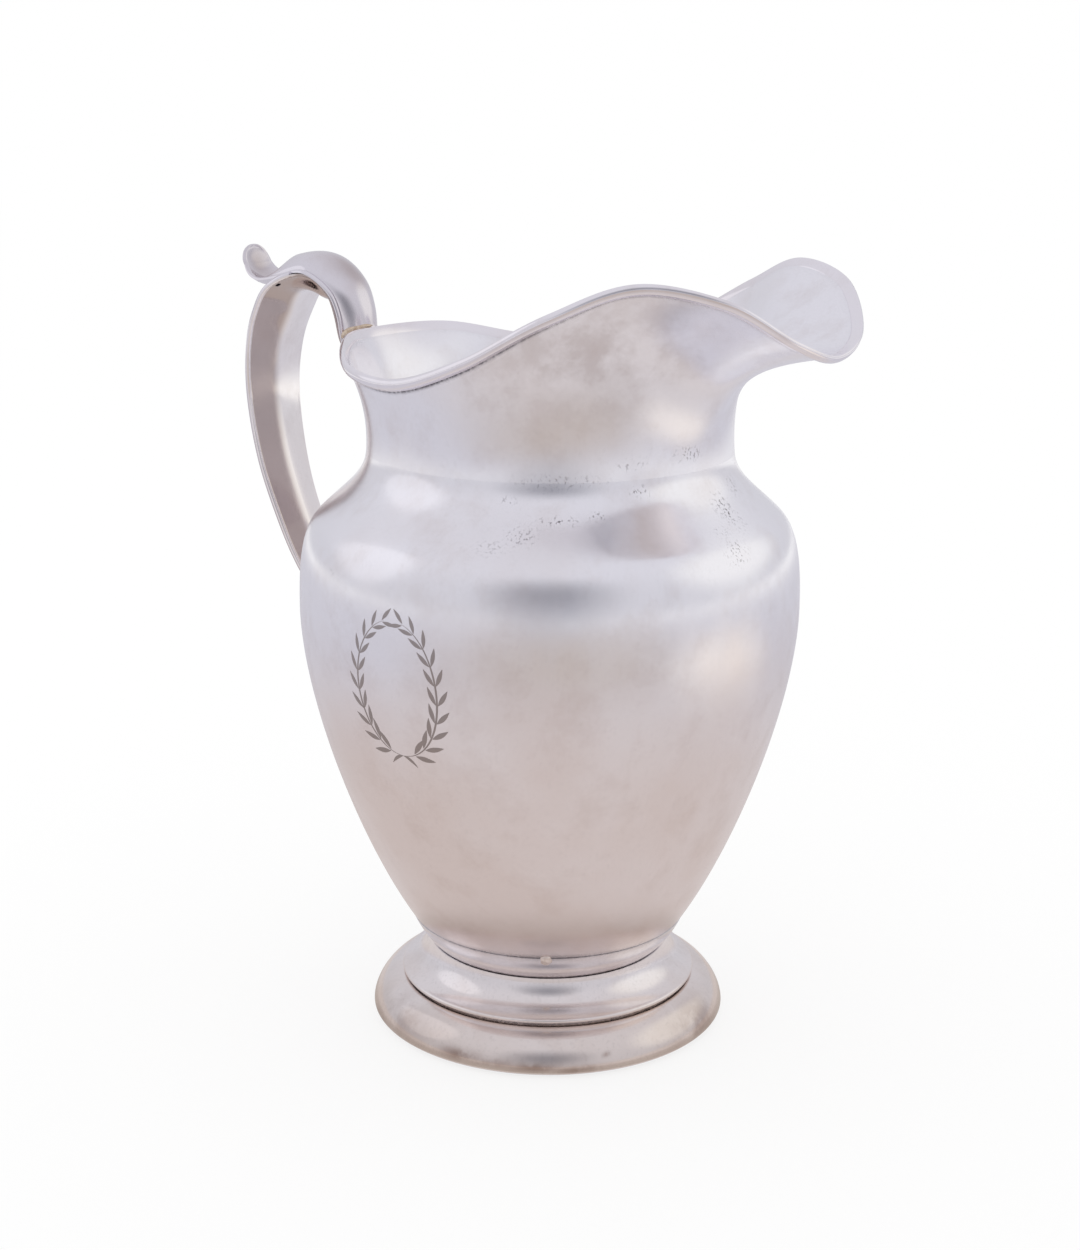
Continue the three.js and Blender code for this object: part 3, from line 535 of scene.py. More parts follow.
def mouldingProfile():
    groove = foot["grooveRadius"]
    top = Vector((groove + 0.5, foot["grooveZ"] - foot["grooveHalf"]))
    widest = Vector((foot["radius"], foot["widestZ"]))
    bottom = Vector((foot["bearingRadius"], foot["bearingHeight"]))
    upper = cubic(top, Vector((top.x + (widest.x - top.x) * foot["topPull"], top.y)),
                  Vector((widest.x, widest.y + (top.y - widest.y) * foot["sidePull"])), widest, 28)
    lower = cubic(widest, Vector((widest.x, widest.y - (widest.y - bottom.y) * 0.55)),
                  Vector((bottom.x + (widest.x - bottom.x) * 0.5, bottom.y)), bottom, 10)
    skin = upper + lower[1:]
    ledge = Vector((groove - foot["flange"], foot["grooveZ"]))
    inner = Vector((foot["bearingRadius"] - foot["bearingWidth"], foot["bearingHeight"]))
    seat = [ledge, Vector((groove, foot["grooveZ"])), Vector((groove, top.y))]
    inside = [inner, inner + Vector((0, foot["wall"]))] + offsetRow(skin, -foot["wall"])[::-1]
    return seat + skin + inside + [Vector((ledge.x, top.y - foot["wall"])), ledge]


# the top line is tarnish and painted shade along the closed-up seam to the bowl; the foot line is tarnish
collarLines = [(foot["collarTopRadius"], foot["collarTopZ"], 0.22, 0.5),
               (foot["collarFootRadius"], foot["collarFootZ"], 0.3, 0.75)]
collar = turnedPiece("foot_collar_strip", collarProfile(), foot["steps"])
paintGrimeAndShade(collar, collarLines, 60)
dress(collar, "foot_collar", footSilver)
grooveLine = (foot["grooveRadius"] + 0.3, foot["grooveZ"], 0.5, 0.6)
dome = turnedPiece("foot_cove", domeProfile(), foot["steps"])
paintGrimeAndShade(dome, [grooveLine, (foot["collarFootRadius"], foot["collarFootZ"], 0.4, 0.7)])
dress(dome, "foot_dome", footSilver)
moulding = turnedPiece("foot_base_moulding", mouldingProfile(), foot["steps"])
paintGrimeAndShade(moulding, [grooveLine])
# brown stains, and along the near bottom edge painted shade for the shadowed floor that it reflects
paintSpots(moulding, "soil", [(-86, 4.6, 7, 1.7, 0.8), (-74, 4.2, 9, 1.3, 0.55), (-61, 3.9, 8, 1.4, 0.75),
                              (-47, 3, 8, 1.4, 0.6), (-112, 7, 15, 5, 0.4), (-128, 3, 6, 2.4, 0.5),
                              (2, 6, 13, 5, 0.5), (-38, 6.4, 0.9, 0.7, 0.8)])
dress(moulding, "foot_moulding", footSilver)
outside = foot["bearingRadius"]
inside = outside - foot["bearingWidth"]
bearing = turnedPiece("foot_standing_ring", [Vector(corner) for corner in (
    (outside, 0.35), (outside, foot["bearingHeight"]), (inside, foot["bearingHeight"]), (inside, 0),
    (outside - 0.35, 0), (outside - 0.1, 0.1), (outside, 0.35))], foot["steps"])
dress(bearing, "foot_bearing_ring", baseSilver)


# Handle: two hollow halves along one seam line, and the scroll that ends in the thumb leaf

handle = {
    "rootOut": 5.5, "rootDrop": 4.4, "springZ": 196, "springDepth": 1.5, "archX": 83.8, "archZ": 225.7,
    "reach": 106.4, "reachZ": 187.5, "seatZ": 104, "seatDepth": 1.5, "bead": 0.95, "rounding": 0.02,
    "ridge": 1.35, "archSoft": 0.75, "softEnd": 0.32, "softFade": 0.1, "faceReach": 0.08,
    "backFrom": 0.335, "backTuck": 0.05, "rows": 150, "ends": 24, "arc": 40,
}
halves = {"root": 8.5, "arch": 11.6, "top": 15, "loop": 12.7, "seat": 9.4}  # half the strap's width
crowns = {"root": 6.6, "arch": 5.8, "top": 3.4, "loop": 6, "seat": 5.6}  # how far its outer half stands out
bellies = {"root": 3.6, "arch": 8.2, "top": 3.4, "loop": 2.8, "seat": 2.6}  # and its inner half
leaf = {"tipX": 113.3, "tipZ": 232.4, "lowX": 105, "lowZ": 222.2, "half": 8.6, "tipHalf": 1.6, "thick": 2.6,
        "dish": 1.6, "under": 0.75, "spoonFrom": 0.47, "spoonFade": 0.15, "roundFrom": 0.78, "rows": 150}


class SeamLine:  # smooth line through points in (x, z), evenly weighted by their spacing
    def __init__(self, points, reach=1e-4):
        self.points = points
        self.reach = reach  # share of the line over which its direction is taken

    def span(self, t):
        place = min(max(t, 0), 1) * (len(self.points) - 1)
        i = min(int(place), len(self.points) - 2)
        return i, place - i

    def at(self, t):  # rounded a little where the points turn it sharply
        near = min(handle["rounding"], max(t, 0), max(1 - t, 0))
        return (self.through(t - near) + self.through(t) * 2 + self.through(t + near)) / 4

    def through(self, t):
        i, w = self.span(t)
        row = self.points
        before = row[i - 1] if i > 0 else row[0] * 2 - row[1]
        after = row[i + 2] if i + 2 < len(row) else row[-1] * 2 - row[-2]
        a, b = row[i], row[i + 1]
        d0 = sqrt((a - before).length)
        d1 = sqrt((b - a).length)
        d2 = sqrt((after - b).length)
        startSlope = ((a - before) / d0 - (b - before) / (d0 + d1) + (b - a) / d1) * d1
        endSlope = ((b - a) / d1 - (after - a) / (d1 + d2) + (after - b) / d2) * d1
        return blend(a, b, startSlope, endSlope, w)

    def alongAt(self, t):
        return (self.at(min(t + self.reach, 1)) - self.at(max(t - self.reach, 0))).normalized()

    def place(self, t, across, out):  # across the strap, and out from the line
        p = self.at(t)
        along = self.alongAt(t)
        return Vector((p.x + along.y * out, across, p.y - along.x * out))


def eased(values, t):  # smooth run through evenly spaced values
    last = len(values) - 1
    place = min(max(t, 0), 1) * last
    i = min(int(place), last - 1)
    a, b = values[i], values[i + 1]
    return blend(a, b, (b - values[max(i - 1, 0)]) / 2, (values[min(i + 2, last)] - a) / 2, place - i)


def radiusAt(row, z):  # where a wall's profile crosses a height, if it does
    for a, b in zip(row, row[1:]):
        if a.y <= z <= b.y:
            return a.x + (b.x - a.x) * (z - a.y) / max(b.y - a.y, 1e-6)
    return None


def bowlRadiusAt(z):
    row = bowlWall()
    return radiusAt(row, z) or (row[-1].x if z > row[-1].y else row[0].x)


def neckRadiusAt(turn, z):
    return radiusAt(neckWall(turn, 0, 24), z) or -1


def clearOfVessel(point):  # above zero outside the bowl, the neck and the rim wire
    radius = hypot(point.x, point.y)
    if point.z < bowl["neckZ"]:
        return radius - bowlRadiusAt(point.z)
    turn = degrees(atan2(point.y, point.x))
    up = leaned(aroundMouth("lean", turn))
    out = Vector((up.y, -up.x))
    away = Vector((radius, point.z)) - Vector((aroundMouth("reach", turn), aroundMouth("height", turn)))
    away -= out * (rim["wireOut"] - bowl["sheet"] / 2)
    oval = hypot(away.dot(out) / (rim["wireWidth"] / 2), away.dot(up) / (rim["wireHeight"] / 2))
    wall = radius - neckRadiusAt(turn, point.z)
    return min(wall, (oval - 1) * rim["wireWidth"] / 2)


rimBackReach = aroundMouth("reach", 180)
rimBackHeight = aroundMouth("height", 180)
rootX = rimBackReach + handle["rootOut"]
rootZ = rimBackHeight - handle["rootDrop"]
springX = neckRadiusAt(180, handle["springZ"]) - handle["springDepth"]
seatX = bowlRadiusAt(handle["seatZ"]) - handle["seatDepth"]
overArch = handle["archX"] - rootX
pastArch = handle["reach"] - handle["archX"]
archX, archZ = handle["archX"], handle["archZ"]
reach, reachZ = handle["reach"], handle["reachZ"]
stations = [  # x out from the axis, z, half width, crown outside, belly inside
    (springX, handle["springZ"], halves["root"] - 0.5, crowns["root"], bellies["root"]),
    (rootX, rootZ, halves["root"], crowns["root"], bellies["root"]),
    (rootX + 2.3, rootZ + 10.3, halves["root"] + 1, crowns["root"], bellies["root"]),
    (rootX + overArch * 0.38, archZ - 5.6, (halves["root"] + halves["arch"]) / 2, crowns["root"],
     (bellies["root"] + bellies["arch"]) / 2),
    (archX, archZ, halves["arch"], crowns["arch"], bellies["arch"]),
    (archX + pastArch * 0.5, archZ - 4.2, halves["top"], crowns["top"], bellies["top"]),
    (archX + pastArch * 0.76, archZ - 12.8, halves["top"], (crowns["top"] + 2 * crowns["loop"]) / 3,
     bellies["top"]),
    (reach - 1.6, reachZ + 15.5, (halves["top"] + halves["loop"]) / 2, crowns["loop"], bellies["loop"]),
    (reach, reachZ, halves["loop"], crowns["loop"], bellies["loop"]),
    (reach - 3.1, reachZ - 22, halves["loop"] - 1, crowns["loop"], bellies["loop"]),
    (reach - 8.6, reachZ - 38.5, halves["loop"] - 2, crowns["loop"], bellies["loop"]),
    (reach - 16, reachZ - 53.5, halves["seat"] + 1.1, crowns["seat"], bellies["seat"]),
    (seatX + 8.4, handle["seatZ"] + 13.2, halves["seat"] + 0.6, crowns["seat"], bellies["seat"]),
    (seatX, handle["seatZ"], halves["seat"], crowns["seat"], bellies["seat"]),
]
seamLine = SeamLine([Vector((-s[0], s[1])) for s in stations])
beadStop = radians(64)  # the bead turns this far before the outside starts


def beadEdge(half):  # bead size, where the outside starts, and how high
    bead = min(handle["bead"], half * 0.4)
    return bead, half - bead * (1 + cos(beadStop)), bead * sin(beadStop)


def halfSection(half, crown, side, ridge=0, soft=0):  # half a strap: bead, outside, bead, flat seam
    bead, edge, ledge = beadEdge(half)
    row = []
    for i in range(7):
        a = pi - i / 6 * (pi - beadStop)
        row.append((-half + bead + bead * cos(a), bead * sin(a)))
    for i in range(1, handle["arc"]):
        v = -cos(i / handle["arc"] * pi)
        swell = 1 - abs(v) ** ridge if ridge else (1 - v * v) ** 0.7
        swell += (0.5 + 0.5 * cos(pi * v) - swell) * soft
        row.append((edge * v, ledge + (crown - ledge) * swell))
    for i in range(7):
        a = beadStop - i / 6 * beadStop
        row.append((half - bead + bead * cos(a), bead * sin(a)))
    for i in range(1, 8):
        row.append((half * (1 - i / 4), 0))
    return [(across, side * out) for across, out in row]


def trimLimits(line, sectionAt, start, end, trimStart, trimEnd):  # where each strip comes out of the vessel
    def meets(j, fromT, toT):
        last = fromT
        for i in range(241):
            t = fromT + (toT - fromT) * i / 240
            across, out = sectionAt(t)[j]
            if clearOfVessel(line.place(t, across, out)) > 0.05:
                return last
            last = t
        return fromT

    count = len(sectionAt(start))
    lows = [meets(j, start, start + 0.3) if trimStart else start for j in range(count)]
    highs = [meets(j, end, end - 0.3) if trimEnd else end for j in range(count)]
    return lows, highs


def strapSections(line, sectionAt, limits, rows, ends, crowding=1):  # common rows, then each strip on alone
    lows, highs = limits

    def placed(t, j):
        across, out = sectionAt(t)[j]
        return line.place(t, across, out)

    first = max(lows)
    last = min(highs)
    sections = []
    if min(lows) < first:
        for i in range(ends):
            sections.append([placed(low + (first - low) * i / ends, j) for j, low in enumerate(lows)])
    for i in range(rows + 1):
        t = first + (last - first) * (1 - (1 - i / rows) ** crowding)
        sections.append([line.place(t, across, out) for across, out in sectionAt(t)])
    if max(highs) > last:
        for i in range(1, ends + 1):
            sections.append([placed(last + (high - last) * i / ends, j) for j, high in enumerate(highs)])
    return sections


def stationValue(index, t):
    return eased([station[index] for station in stations], t)


def faceSection(t):
    loop = smooth((t - handle["softEnd"]) / handle["softFade"])  # rounded under the arch, ridged in the loop
    soft = handle["archSoft"] * (1 - loop)
    return halfSection(stationValue(2, t), stationValue(4, t), -1, handle["ridge"], soft)


def backSection(t):
    tucked = smooth((t - handle["backFrom"]) / handle["backTuck"])  # starts thin, under the scroll
    return halfSection(stationValue(2, t), 1 + (stationValue(3, t) - 1) * tucked, 1)


faceLine = SeamLine(seamLine.points, handle["faceReach"])  # turns slowly enough for the arch's belly
handleFace = skinnedPiece("handle_inner_half", strapSections(
    faceLine, faceSection, trimLimits(faceLine, faceSection, 0, 1, True, True),
    handle["rows"], handle["ends"]), False)
handleBack = skinnedPiece("handle_outer_half", strapSections(
    seamLine, backSection, trimLimits(seamLine, backSection, handle["backFrom"], 1, False, True),
    handle["rows"], handle["ends"]), False)
dress(handleBack, "handle_back", handleSilver)

vent = {"t": 0.372, "side": 12.2, "deep": 1.4, "radius": 0.75, "depth": 2.4}  # let the hot air out
ventAlong = seamLine.alongAt(vent["t"])
ventAxis = Vector((ventAlong.y, 0, -ventAlong.x))
ventMiddle = seamLine.place(vent["t"], -vent["side"], -vent["deep"])
deselect()
bpy.ops.mesh.primitive_cylinder_add(vertices=24, radius=vent["radius"] * mm, depth=vent["depth"] * mm)
drill = bpy.context.object
drill.matrix_world = (Matrix.Translation(ventMiddle * mm + Vector((axisX, 0, 0)))
                      @ ventAxis.to_track_quat("Z", "Y").to_matrix().to_4x4())
deselect()
handleFace.select_set(True)
bpy.context.view_layer.objects.active = handleFace
hole = handleFace.modifiers.new("vent", "BOOLEAN")
hole.operation = "DIFFERENCE"
hole.object = drill
bpy.ops.object.modifier_apply(modifier="vent")
bpy.data.objects.remove(drill)


# painted shade: the vent's walls and floor are coloured dark, so that the shallow hole looks deep
def ventShadeAt(place):
    away = place - ventMiddle
    return 1 if (away - ventAxis * away.dot(ventAxis)).length < vent["radius"] * 1.02 else 0


paint(handleFace, "grimeAndShade", ventShadeAt)
faceDarkening = {"amount": 0.6, "edge": 0.5, "fade": 4, "beadFade": 0.8,
            "fromT": 0.34, "stepT": 0.011, "steps": 61}
loopWidths = []  # height and half width down the loop
for i in range(faceDarkening["steps"]):
    t = faceDarkening["fromT"] + i * faceDarkening["stepT"]
    loopWidths.append((seamLine.at(t).y, stationValue(2, t)))


def faceDarkeningAt(place):  # darker on the near side, and not on its bead
    half = min(loopWidths, key=lambda row: abs(row[0] - place.z))[1]
    inward = place.y - faceDarkening["edge"]
    near = smooth(-inward / faceDarkening["fade"])
    return faceDarkening["amount"] * near * smooth((half + inward) / faceDarkening["beadFade"])


paint(handleFace, "soil", faceDarkeningAt)
dress(handleFace, "handle_face", faceSilver)

scrollPoints = [station[:2] for station in stations[:5]] + [
    ((archX + leaf["lowX"]) / 2, (archZ + leaf["lowZ"]) / 2 - 0.2),
    (leaf["lowX"], leaf["lowZ"]),
    (leaf["tipX"] - 4, leaf["lowZ"] + 1.7),
    (leaf["tipX"] - 1.5, (leaf["lowZ"] + leaf["tipZ"]) / 2),
    (leaf["tipX"] - 0.3, leaf["tipZ"] - 1.5),
    (leaf["tipX"], leaf["tipZ"]),
]
scrollLine = SeamLine([Vector((-x, z)) for x, z in scrollPoints])
scrollHalf = [  # at the same points, from the root to the leaf's tip
    halves["root"] - 0.5, halves["root"], halves["root"] + 0.6, (halves["root"] + halves["arch"]) / 2,
    halves["arch"], (halves["arch"] + leaf["half"]) / 2 + 0.6, leaf["half"], leaf["half"] * 0.86,
    leaf["half"] * 0.7, leaf["half"] * 0.44, leaf["tipHalf"],
]
scrollCrown = [
    crowns["root"], crowns["root"], crowns["root"], (crowns["root"] + crowns["arch"]) / 2,
    crowns["arch"], (crowns["arch"] + leaf["thick"]) / 2 + 2, leaf["thick"] + 2.2, leaf["thick"] + 0.5,
    leaf["thick"], leaf["thick"] * 0.85, leaf["thick"] * 0.6,
]


def scrollHalfAt(t):  # round at the leaf's tip
    start = leaf["roundFrom"]
    if t <= start:
        return eased(scrollHalf, t)
    low = scrollLine.at(start).y
    s = (scrollLine.at(t).y - low) / (leaf["tipZ"] - low)
    return eased(scrollHalf, start) * sqrt(max(1 - s * s, 0)) + 0.06


def scrollSection(t):  # the round arch flattens and then hollows into the leaf
    half = scrollHalfAt(t)
    bead, edge, ledge = beadEdge(half)
    spoon = smooth((t - leaf["spoonFrom"]) / leaf["spoonFade"])
    dish = leaf["dish"] * (half / leaf["half"]) ** 2
    thin = leaf["under"] * min(half / leaf["half"] + 0.3, 1)
    row = []
    for i, (across, out) in enumerate(halfSection(half, eased(scrollCrown, t), 1)):
        hollow = out
        if 7 <= i < handle["arc"] + 6:
            hollow = ledge - dish * (1 - (across / edge) ** 2)
        elif i >= handle["arc"] + 13:
            hollow = -(dish + thin) * (1 - (across / half) ** 2)
        row.append((across, out + (hollow - out) * spoon))
    return row


scrollLimits = trimLimits(scrollLine, scrollSection, 0, 1, True, False)
scroll = skinnedPiece("handle_scroll_and_leaf", strapSections(
    scrollLine, scrollSection, scrollLimits, leaf["rows"], handle["ends"], 1.5), False)
# painted shade that dims the highlight in the leaf's dish
paintSpots(scroll, "soil", [(180, 226.5, 5, 5, 0.45)])
dress(scroll, "handle_scroll", handleSilver)


# Solder left at two joints

fillet = {"radius": 1.0, "share": 0.5, "low": -1.4, "high": 2.2, "smoothing": 8, "sides": 20}


def filletPath():  # over the near part of the arch, where it comes up from behind the rim
    columns = range(2, 7 + round(handle["arc"] * fillet["share"]))
    path = []
    for j in columns:
        share = (j - columns[0]) / (columns[-1] - columns[0])
        climb = (fillet["high"] - fillet["low"]) * (1 - (1 - share) ** 2)
        for i in range(220):  # up this strip to the fillet's height
            t = scrollLimits[0][j] + i * 0.001
            across, out = scrollSection(t)[j]
            spot = scrollLine.place(t, across, out)
            if spot.z > rimBackHeight + fillet["low"] + climb:
                break
        path.append(spot)
    for repeat in range(fillet["smoothing"]):
        path = [path[0]] + [(a + b * 2 + c) / 4 for a, b, c in zip(path, path[1:], path[2:])] + [path[-1]]
    return path


def filletSections(path):  # thin, uneven, and pointed at both ends
    sections = []
    last = len(path) - 1
    for i, middle in enumerate(path):
        share = i / last
        along = (path[min(i + 1, last)] - path[max(i - 1, 0)]).normalized()
        side = along.cross(Vector((0, 0, 1))).normalized()
        over = side.cross(along)
        size = fillet["radius"] * (1.15 - 0.5 * share) * sqrt(max(1 - (2 * share - 1) ** 4, 0.02))
        size *= 1 + 0.2 * sin(17 * share + 0.6) * share
        section = []
        for n in range(fillet["sides"]):
            a = n / fillet["sides"] * 2 * pi
            section.append(middle + side * cos(a) * size * 0.7 + over * sin(a) * size)
        sections.append(section)
    return sections


rimSolder = skinnedPiece("rim_solder", filletSections(filletPath()), False, 60)
dress(rimSolder, "handle_rim_solder", solderTan)

drop = {"turn": -58, "halfWidth": 2, "halfHeight": 2.2, "proud": 0.3, "sunk": 0.9, "below": 0.6}
deselect()
bpy.ops.mesh.primitive_ico_sphere_add(subdivisions=5, radius=mm, location=(0, 0, 0))
collarSolder = bpy.context.object
collarOut = foot["collarTopRadius"] - foot["collarFootRadius"]
slope = atan2(collarOut, foot["collarTopZ"] - foot["collarFootZ"])
dropMiddle = Vector((foot["collarTopRadius"] - drop["sunk"], 0, foot["collarTopZ"] - drop["below"])) * mm
seat = (Matrix.Translation((axisX, 0, 0)) @ Matrix.Rotation(radians(drop["turn"]), 4, "Z")
        @ Matrix.Translation(dropMiddle) @ Matrix.Rotation(slope, 4, "Y")
        @ Matrix.Diagonal((drop["proud"] + 1, drop["halfWidth"], drop["halfHeight"], 1)))
for vertex in collarSolder.data.vertices:
    p = vertex.co / mm
    lump = 1 + 0.07 * sin(3 * p.y + 1) * cos(2 * p.z) + 0.05 * sin(6 * p.z + 2 * p.y)
    vertex.co = seat @ (vertex.co * lump)
finishMesh(collarSolder, "collar_solder_drop", 60)
dress(collarSolder, "collar_seam_solder", solderGrey)


# Engraved wreath on the near side of the bowl: tapered cuts that tarnish has filled

wreath = {
    "turn": -92.4, "z": 121, "halfWide": 14, "halfTall": 20, "stemHalf": 0.32, "proud": 0.03,
    "leaves": 10, "leafLength": 5.6, "leafHalf": 0.8, "leafLean": 34, "leafTaper": 0.3, "points": 9,
}


def onBowl(across, up, out):  # mm from the wreath's middle, and out from the bowl's face
    radius = bowlRadiusAt(wreath["z"] + up)
    turn = wreath["turn"] + degrees(across / radius)
    return onTurn(Vector((radius + out, wreath["z"] + up)), turn)


def cutStroke(path, half):  # thickest in the middle, sharp at both ends
    sections = []
    last = len(path) - 1
    for i, point in enumerate(path):
        along = (path[min(i + 1, last)] - path[max(i - 1, 0)]).normalized()
        side = Vector((-along.y, along.x)) * half * (0.1 + 0.9 * sin(pi * i / last))
        ring = []
        for share, out in ((-1, -0.05), (-0.6, 0.7), (0, 1), (0.6, 0.7), (1, -0.05), (0, -4)):
            spot = point + side * share
            ring.append(onBowl(spot.x, spot.y, out * wreath["proud"]))
        sections.append(ring)
    return skinnedPiece("cut", sections, False, 60)


def onOval(angle, hand):
    a = radians(angle)
    return Vector((hand * wreath["halfWide"] * cos(a), wreath["halfTall"] * sin(a)))


def leafStroke(n, hand, lean):  # one leaf of a pair, smaller towards the top
    angle = -74 + n * 148 / (wreath["leaves"] - 1)
    root = onOval(angle, hand)
    along = (onOval(angle + 1, hand) - root).normalized()
    tilt = radians(wreath["leafLean"]) * lean
    aim = Vector((along.x * cos(tilt) - along.y * sin(tilt),
                  along.x * sin(tilt) + along.y * cos(tilt)))
    size = 1 - wreath["leafTaper"] * n / wreath["leaves"]
    path = [root + aim * wreath["leafLength"] * size * (0.12 + s) + along * 0.9 * s ** 2 for s in shares]
    return cutStroke(path, wreath["leafHalf"] * size)


shares = [i / (wreath["points"] - 1) for i in range(wreath["points"])]
cuts = []
for hand in (-1, 1):
    cuts.append(cutStroke([onOval(-94 + i * 172 / 40, hand) for i in range(41)], wreath["stemHalf"]))
    stemEnd = onOval(-90, hand)
    tail = [stemEnd + Vector((-hand * 4.5, -0.6)) * s - Vector((0, 2.4)) * s ** 2 for s in shares]
    cuts.append(cutStroke(tail, wreath["stemHalf"] * 1.6))
    for n in range(wreath["leaves"]):
        for lean in (-1, 1):
            cuts.append(leafStroke(n, hand, lean))
deselect()
for cut in cuts:
    cut.select_set(True)
bpy.context.view_layer.objects.active = cuts[0]
bpy.ops.object.join()
wreathPiece = bpy.context.object
wreathPiece.name = "engraved_wreath"
wreathPiece.data.name = "engraved_wreath"
wreathPiece.data.materials.append(engravedSilver)
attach(wreathPiece, "root")
print("piece:", wreathPiece.name, len(wreathPiece.data.polygons), "faces")


# Stage: pale floor, white surroundings, soft light and the camera

stage = {"floor": "#ffffff", "floorSize": 6, "floorGlow": 0.75, "keyRadiance": 0.18}
view = {
    "azimuth": 33.03, "elevation": 15.007, "distance": 635.49, "roll": 0.211, "lens": 60.29, "sensor": 36,
    "target": (-2.405, -1.564, 123.592),  # mm from the bowl's axis on the floor
}

deselect()
bpy.ops.mesh.primitive_plane_add(size=stage["floorSize"], location=(0, 0, cadBox[0].z))
floor = bpy.context.object
floor.name = "floor"
floorMaterial, tree = newMaterial("floor_pale")
diffuse = addNode(tree, "BsdfDiffuse", {"Color": linear(stage["floor"])}).outputs[0]
glow = addNode(tree, "Emission", {"Color": (1, 1, 1, 1), "Strength": 1}).outputs[0]
mixed = addNode(tree, "MixShader", {0: stage["floorGlow"], 1: diffuse, 2: glow}).outputs[0]
addNode(tree, "OutputMaterial", {"Surface": mixed})
floor.data.materials.append(floorMaterial)

world = bpy.data.worlds.new("white_room")
bpy.context.scene.world = world
world.use_nodes = True
tree = world.node_tree
tree.nodes.clear()
background = addNode(tree, "Background", {"Color": (1, 1, 1, 1), "Strength": 1}).outputs[0]
addNode(tree, "OutputWorld", {"Surface": background})

azimuth = radians(view["azimuth"])
elevation = radians(view["elevation"])
back = Vector((sin(azimuth) * cos(elevation), -cos(azimuth) * cos(elevation),
               sin(elevation)))
target = Vector(view["target"]) * mm + Vector((axisX, 0, 0))
cameraPlace = target + back * view["distance"] * mm
turnedCamera = back.to_track_quat("Z", "Y").to_matrix().to_4x4()
bpy.ops.object.camera_add()
camera = bpy.context.object
camera.matrix_world = (Matrix.Translation(cameraPlace) @ turnedCamera
                       @ Matrix.Rotation(radians(view["roll"]), 4, "Z"))
camera.data.sensor_width = view["sensor"]
camera.data.lens = view["lens"]
camera.data.clip_start = 0.01
bpy.context.scene.camera = camera


def softbox(name, place, size, radiance):  # soft lamp that faces the bowl
    bpy.ops.object.light_add(type="AREA", location=place)
    lamp = bpy.context.object
    lamp.name = name
    lamp.data.shape = "ELLIPSE"
    lamp.data.size = size[0]
    lamp.data.size_y = size[1]
    lamp.data.energy = radiance * pi * pi / 4 * size[0] * size[1]
    aim = Vector(place) - Vector((axisX, 0, 0.12))
    lamp.rotation_euler = aim.to_track_quat("Z", "Y").to_euler()


def onlyReflected(made, material):  # part of the room that only reflections see
    made.data.materials.append(material)
    made.visible_camera = False
    made.visible_diffuse = False
    made.visible_shadow = False
    made.visible_transmission = False


def card(name, place, halfSize, level, tint, solid):  # soft-edged glowing card
    bpy.ops.mesh.primitive_plane_add(size=2)
    made = bpy.context.object
    made.name = name
    made.data.transform(Matrix.Diagonal((halfSize[0], halfSize[1], 1, 1)))
    made.matrix_world = place
    material, tree = newMaterial(name)
    spot = addNode(tree, "TexCoord").outputs["Object"]
    shrunk = addNode(tree, "Mapping", {
        "Vector": spot, "Scale": (1 / halfSize[0], 1 / halfSize[1], 1)}).outputs[0]
    away = addNode(tree, "VectorMath", {0: shrunk}, operation="LENGTH").outputs["Value"]
    shown = addNode(tree, "MapRange", {
        "Value": away, "From Min": solid, "From Max": 1, "To Min": 1, "To Max": 0},
        interpolation_type="SMOOTHSTEP").outputs["Result"]
    clear = addNode(tree, "BsdfTransparent").outputs[0]
    glow = addNode(tree, "Emission", {"Color": linear(tint), "Strength": level}).outputs[0]
    mixed = addNode(tree, "MixShader", {0: shown, 1: clear, 2: glow}).outputs[0]
    addNode(tree, "OutputMaterial", {"Surface": mixed})
    onlyReflected(made, material)


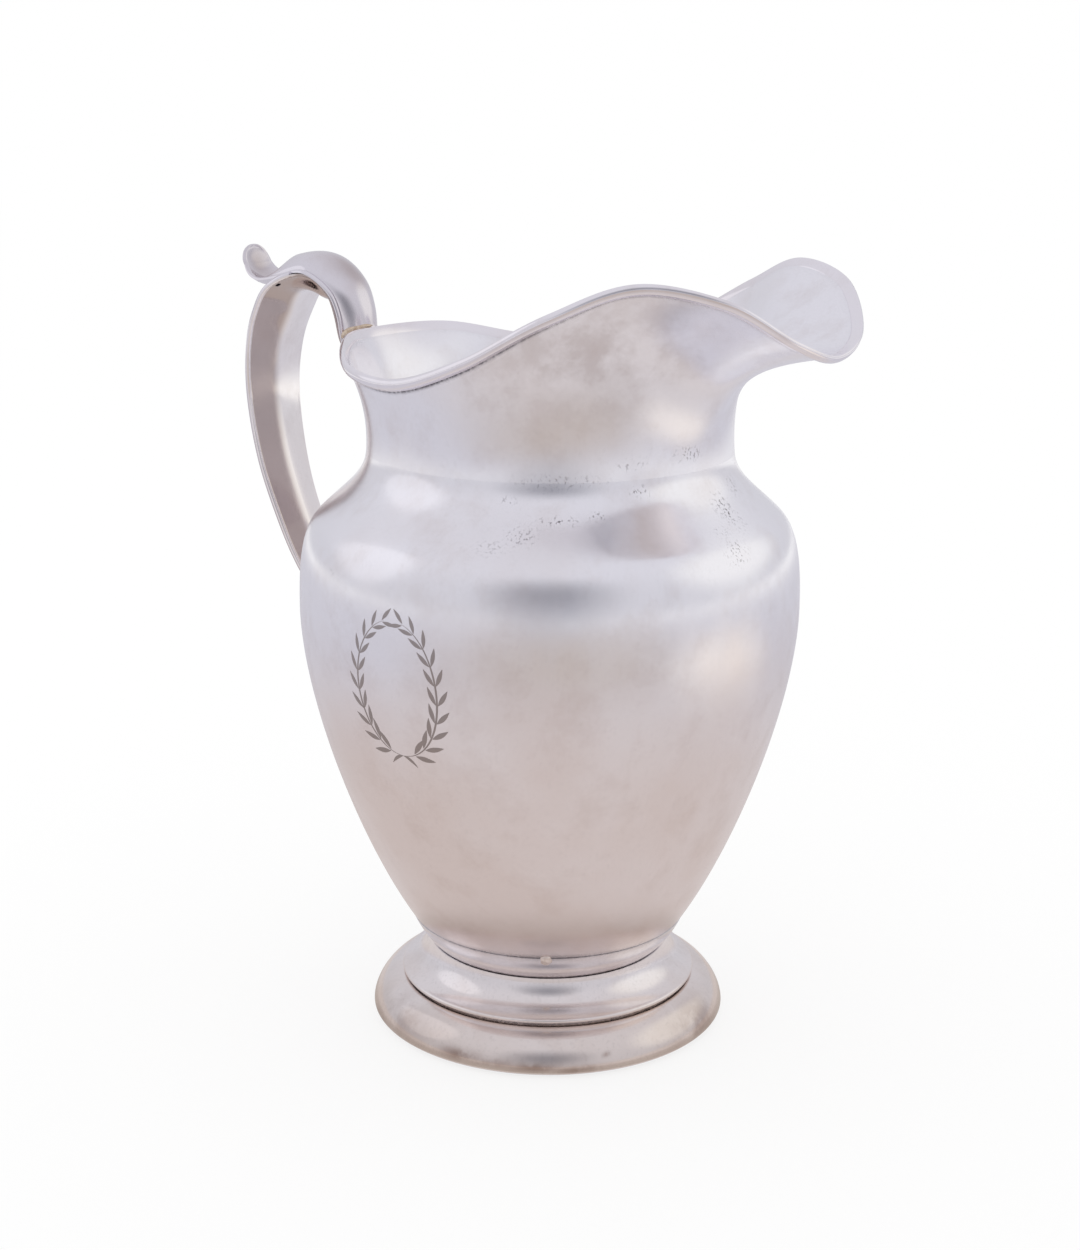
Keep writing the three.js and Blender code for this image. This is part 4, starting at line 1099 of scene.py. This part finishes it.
def roomAround(name, radius, low, high, tint):  # pale dome, brighter overhead
    bpy.ops.mesh.primitive_uv_sphere_add(segments=64, ring_count=32, radius=radius)
    made = bpy.context.object
    made.name = name
    material, tree = newMaterial(name)
    spot = addNode(tree, "TexCoord").outputs["Object"]
    up = addNode(tree, "SeparateXYZ", {0: spot}).outputs["Z"]
    level = addNode(tree, "MapRange", {
        "Value": up, "From Min": 0, "From Max": radius * 0.8, "To Min": low, "To Max": high},
        interpolation_type="SMOOTHSTEP").outputs["Result"]
    glow = addNode(tree, "Emission", {"Color": linear(tint), "Strength": level}).outputs[0]
    addNode(tree, "OutputMaterial", {"Surface": glow})
    onlyReflected(made, material)


softbox("key_softbox", (-0.87, -0.48, 0.6), (0.9, 0.9), stage["keyRadiance"])
roomAround("pale_room", 2.4, 0.7, 0.785, "#f8f8ff")
forward = Vector((sin(azimuth), -cos(azimuth), 0))
rightward = Vector((cos(azimuth), sin(azimuth), 0))
windowPlace = rightward * 1.45 - forward * 0.15 + Vector((0, 0, 0.75))
windowTurned = windowPlace.to_track_quat("Z", "Y").to_matrix().to_4x4()
card("room_behind_camera", Matrix.Translation(cameraPlace + back * 0.06) @ turnedCamera, (0.52, 0.36),
     0.35, "#f2f3ff", 0)
card("window_right", Matrix.Translation(windowPlace) @ windowTurned, (1.3, 0.85), 0.93, "#ffffff", 0.45)
tableCards = [  # ahead of the pitcher, to its right, height, half size, level, tint, solid share
    ("table_around", 0.25, -0.1, 0.0005, (1.9, 1.9), 0.68, "#f7f6ff", 0.5),
    ("table_front", 0.6, 0.1, 0.001, (0.85, 0.7), 0.55, "#fff2ea", 0.15),
    ("table_right", 0.1, 0.48, 0.0012, (0.3, 0.3), 0.91, "#fff8f2", 0.3),
]
for name, ahead, right, height, halfSize, level, tint, solid in tableCards:
    place = Matrix.Translation(forward * ahead + rightward * right + Vector((0, 0, height)))
    card(name, place @ Matrix.Rotation(azimuth, 4, "Z"), halfSize, level, tint, solid)
card("sheet_under", Matrix.Translation((axisX, 0, 0.0015)), (0.42, 0.42), 0.7, "#fff7f5", 0.2)
card("shade_under", Matrix.Translation((axisX, 0, 0.002)), (0.07, 0.07), 0.53, "#fff4ee", 0.78)
print("stage set")

bpy.context.scene.view_settings.view_transform = "Standard"
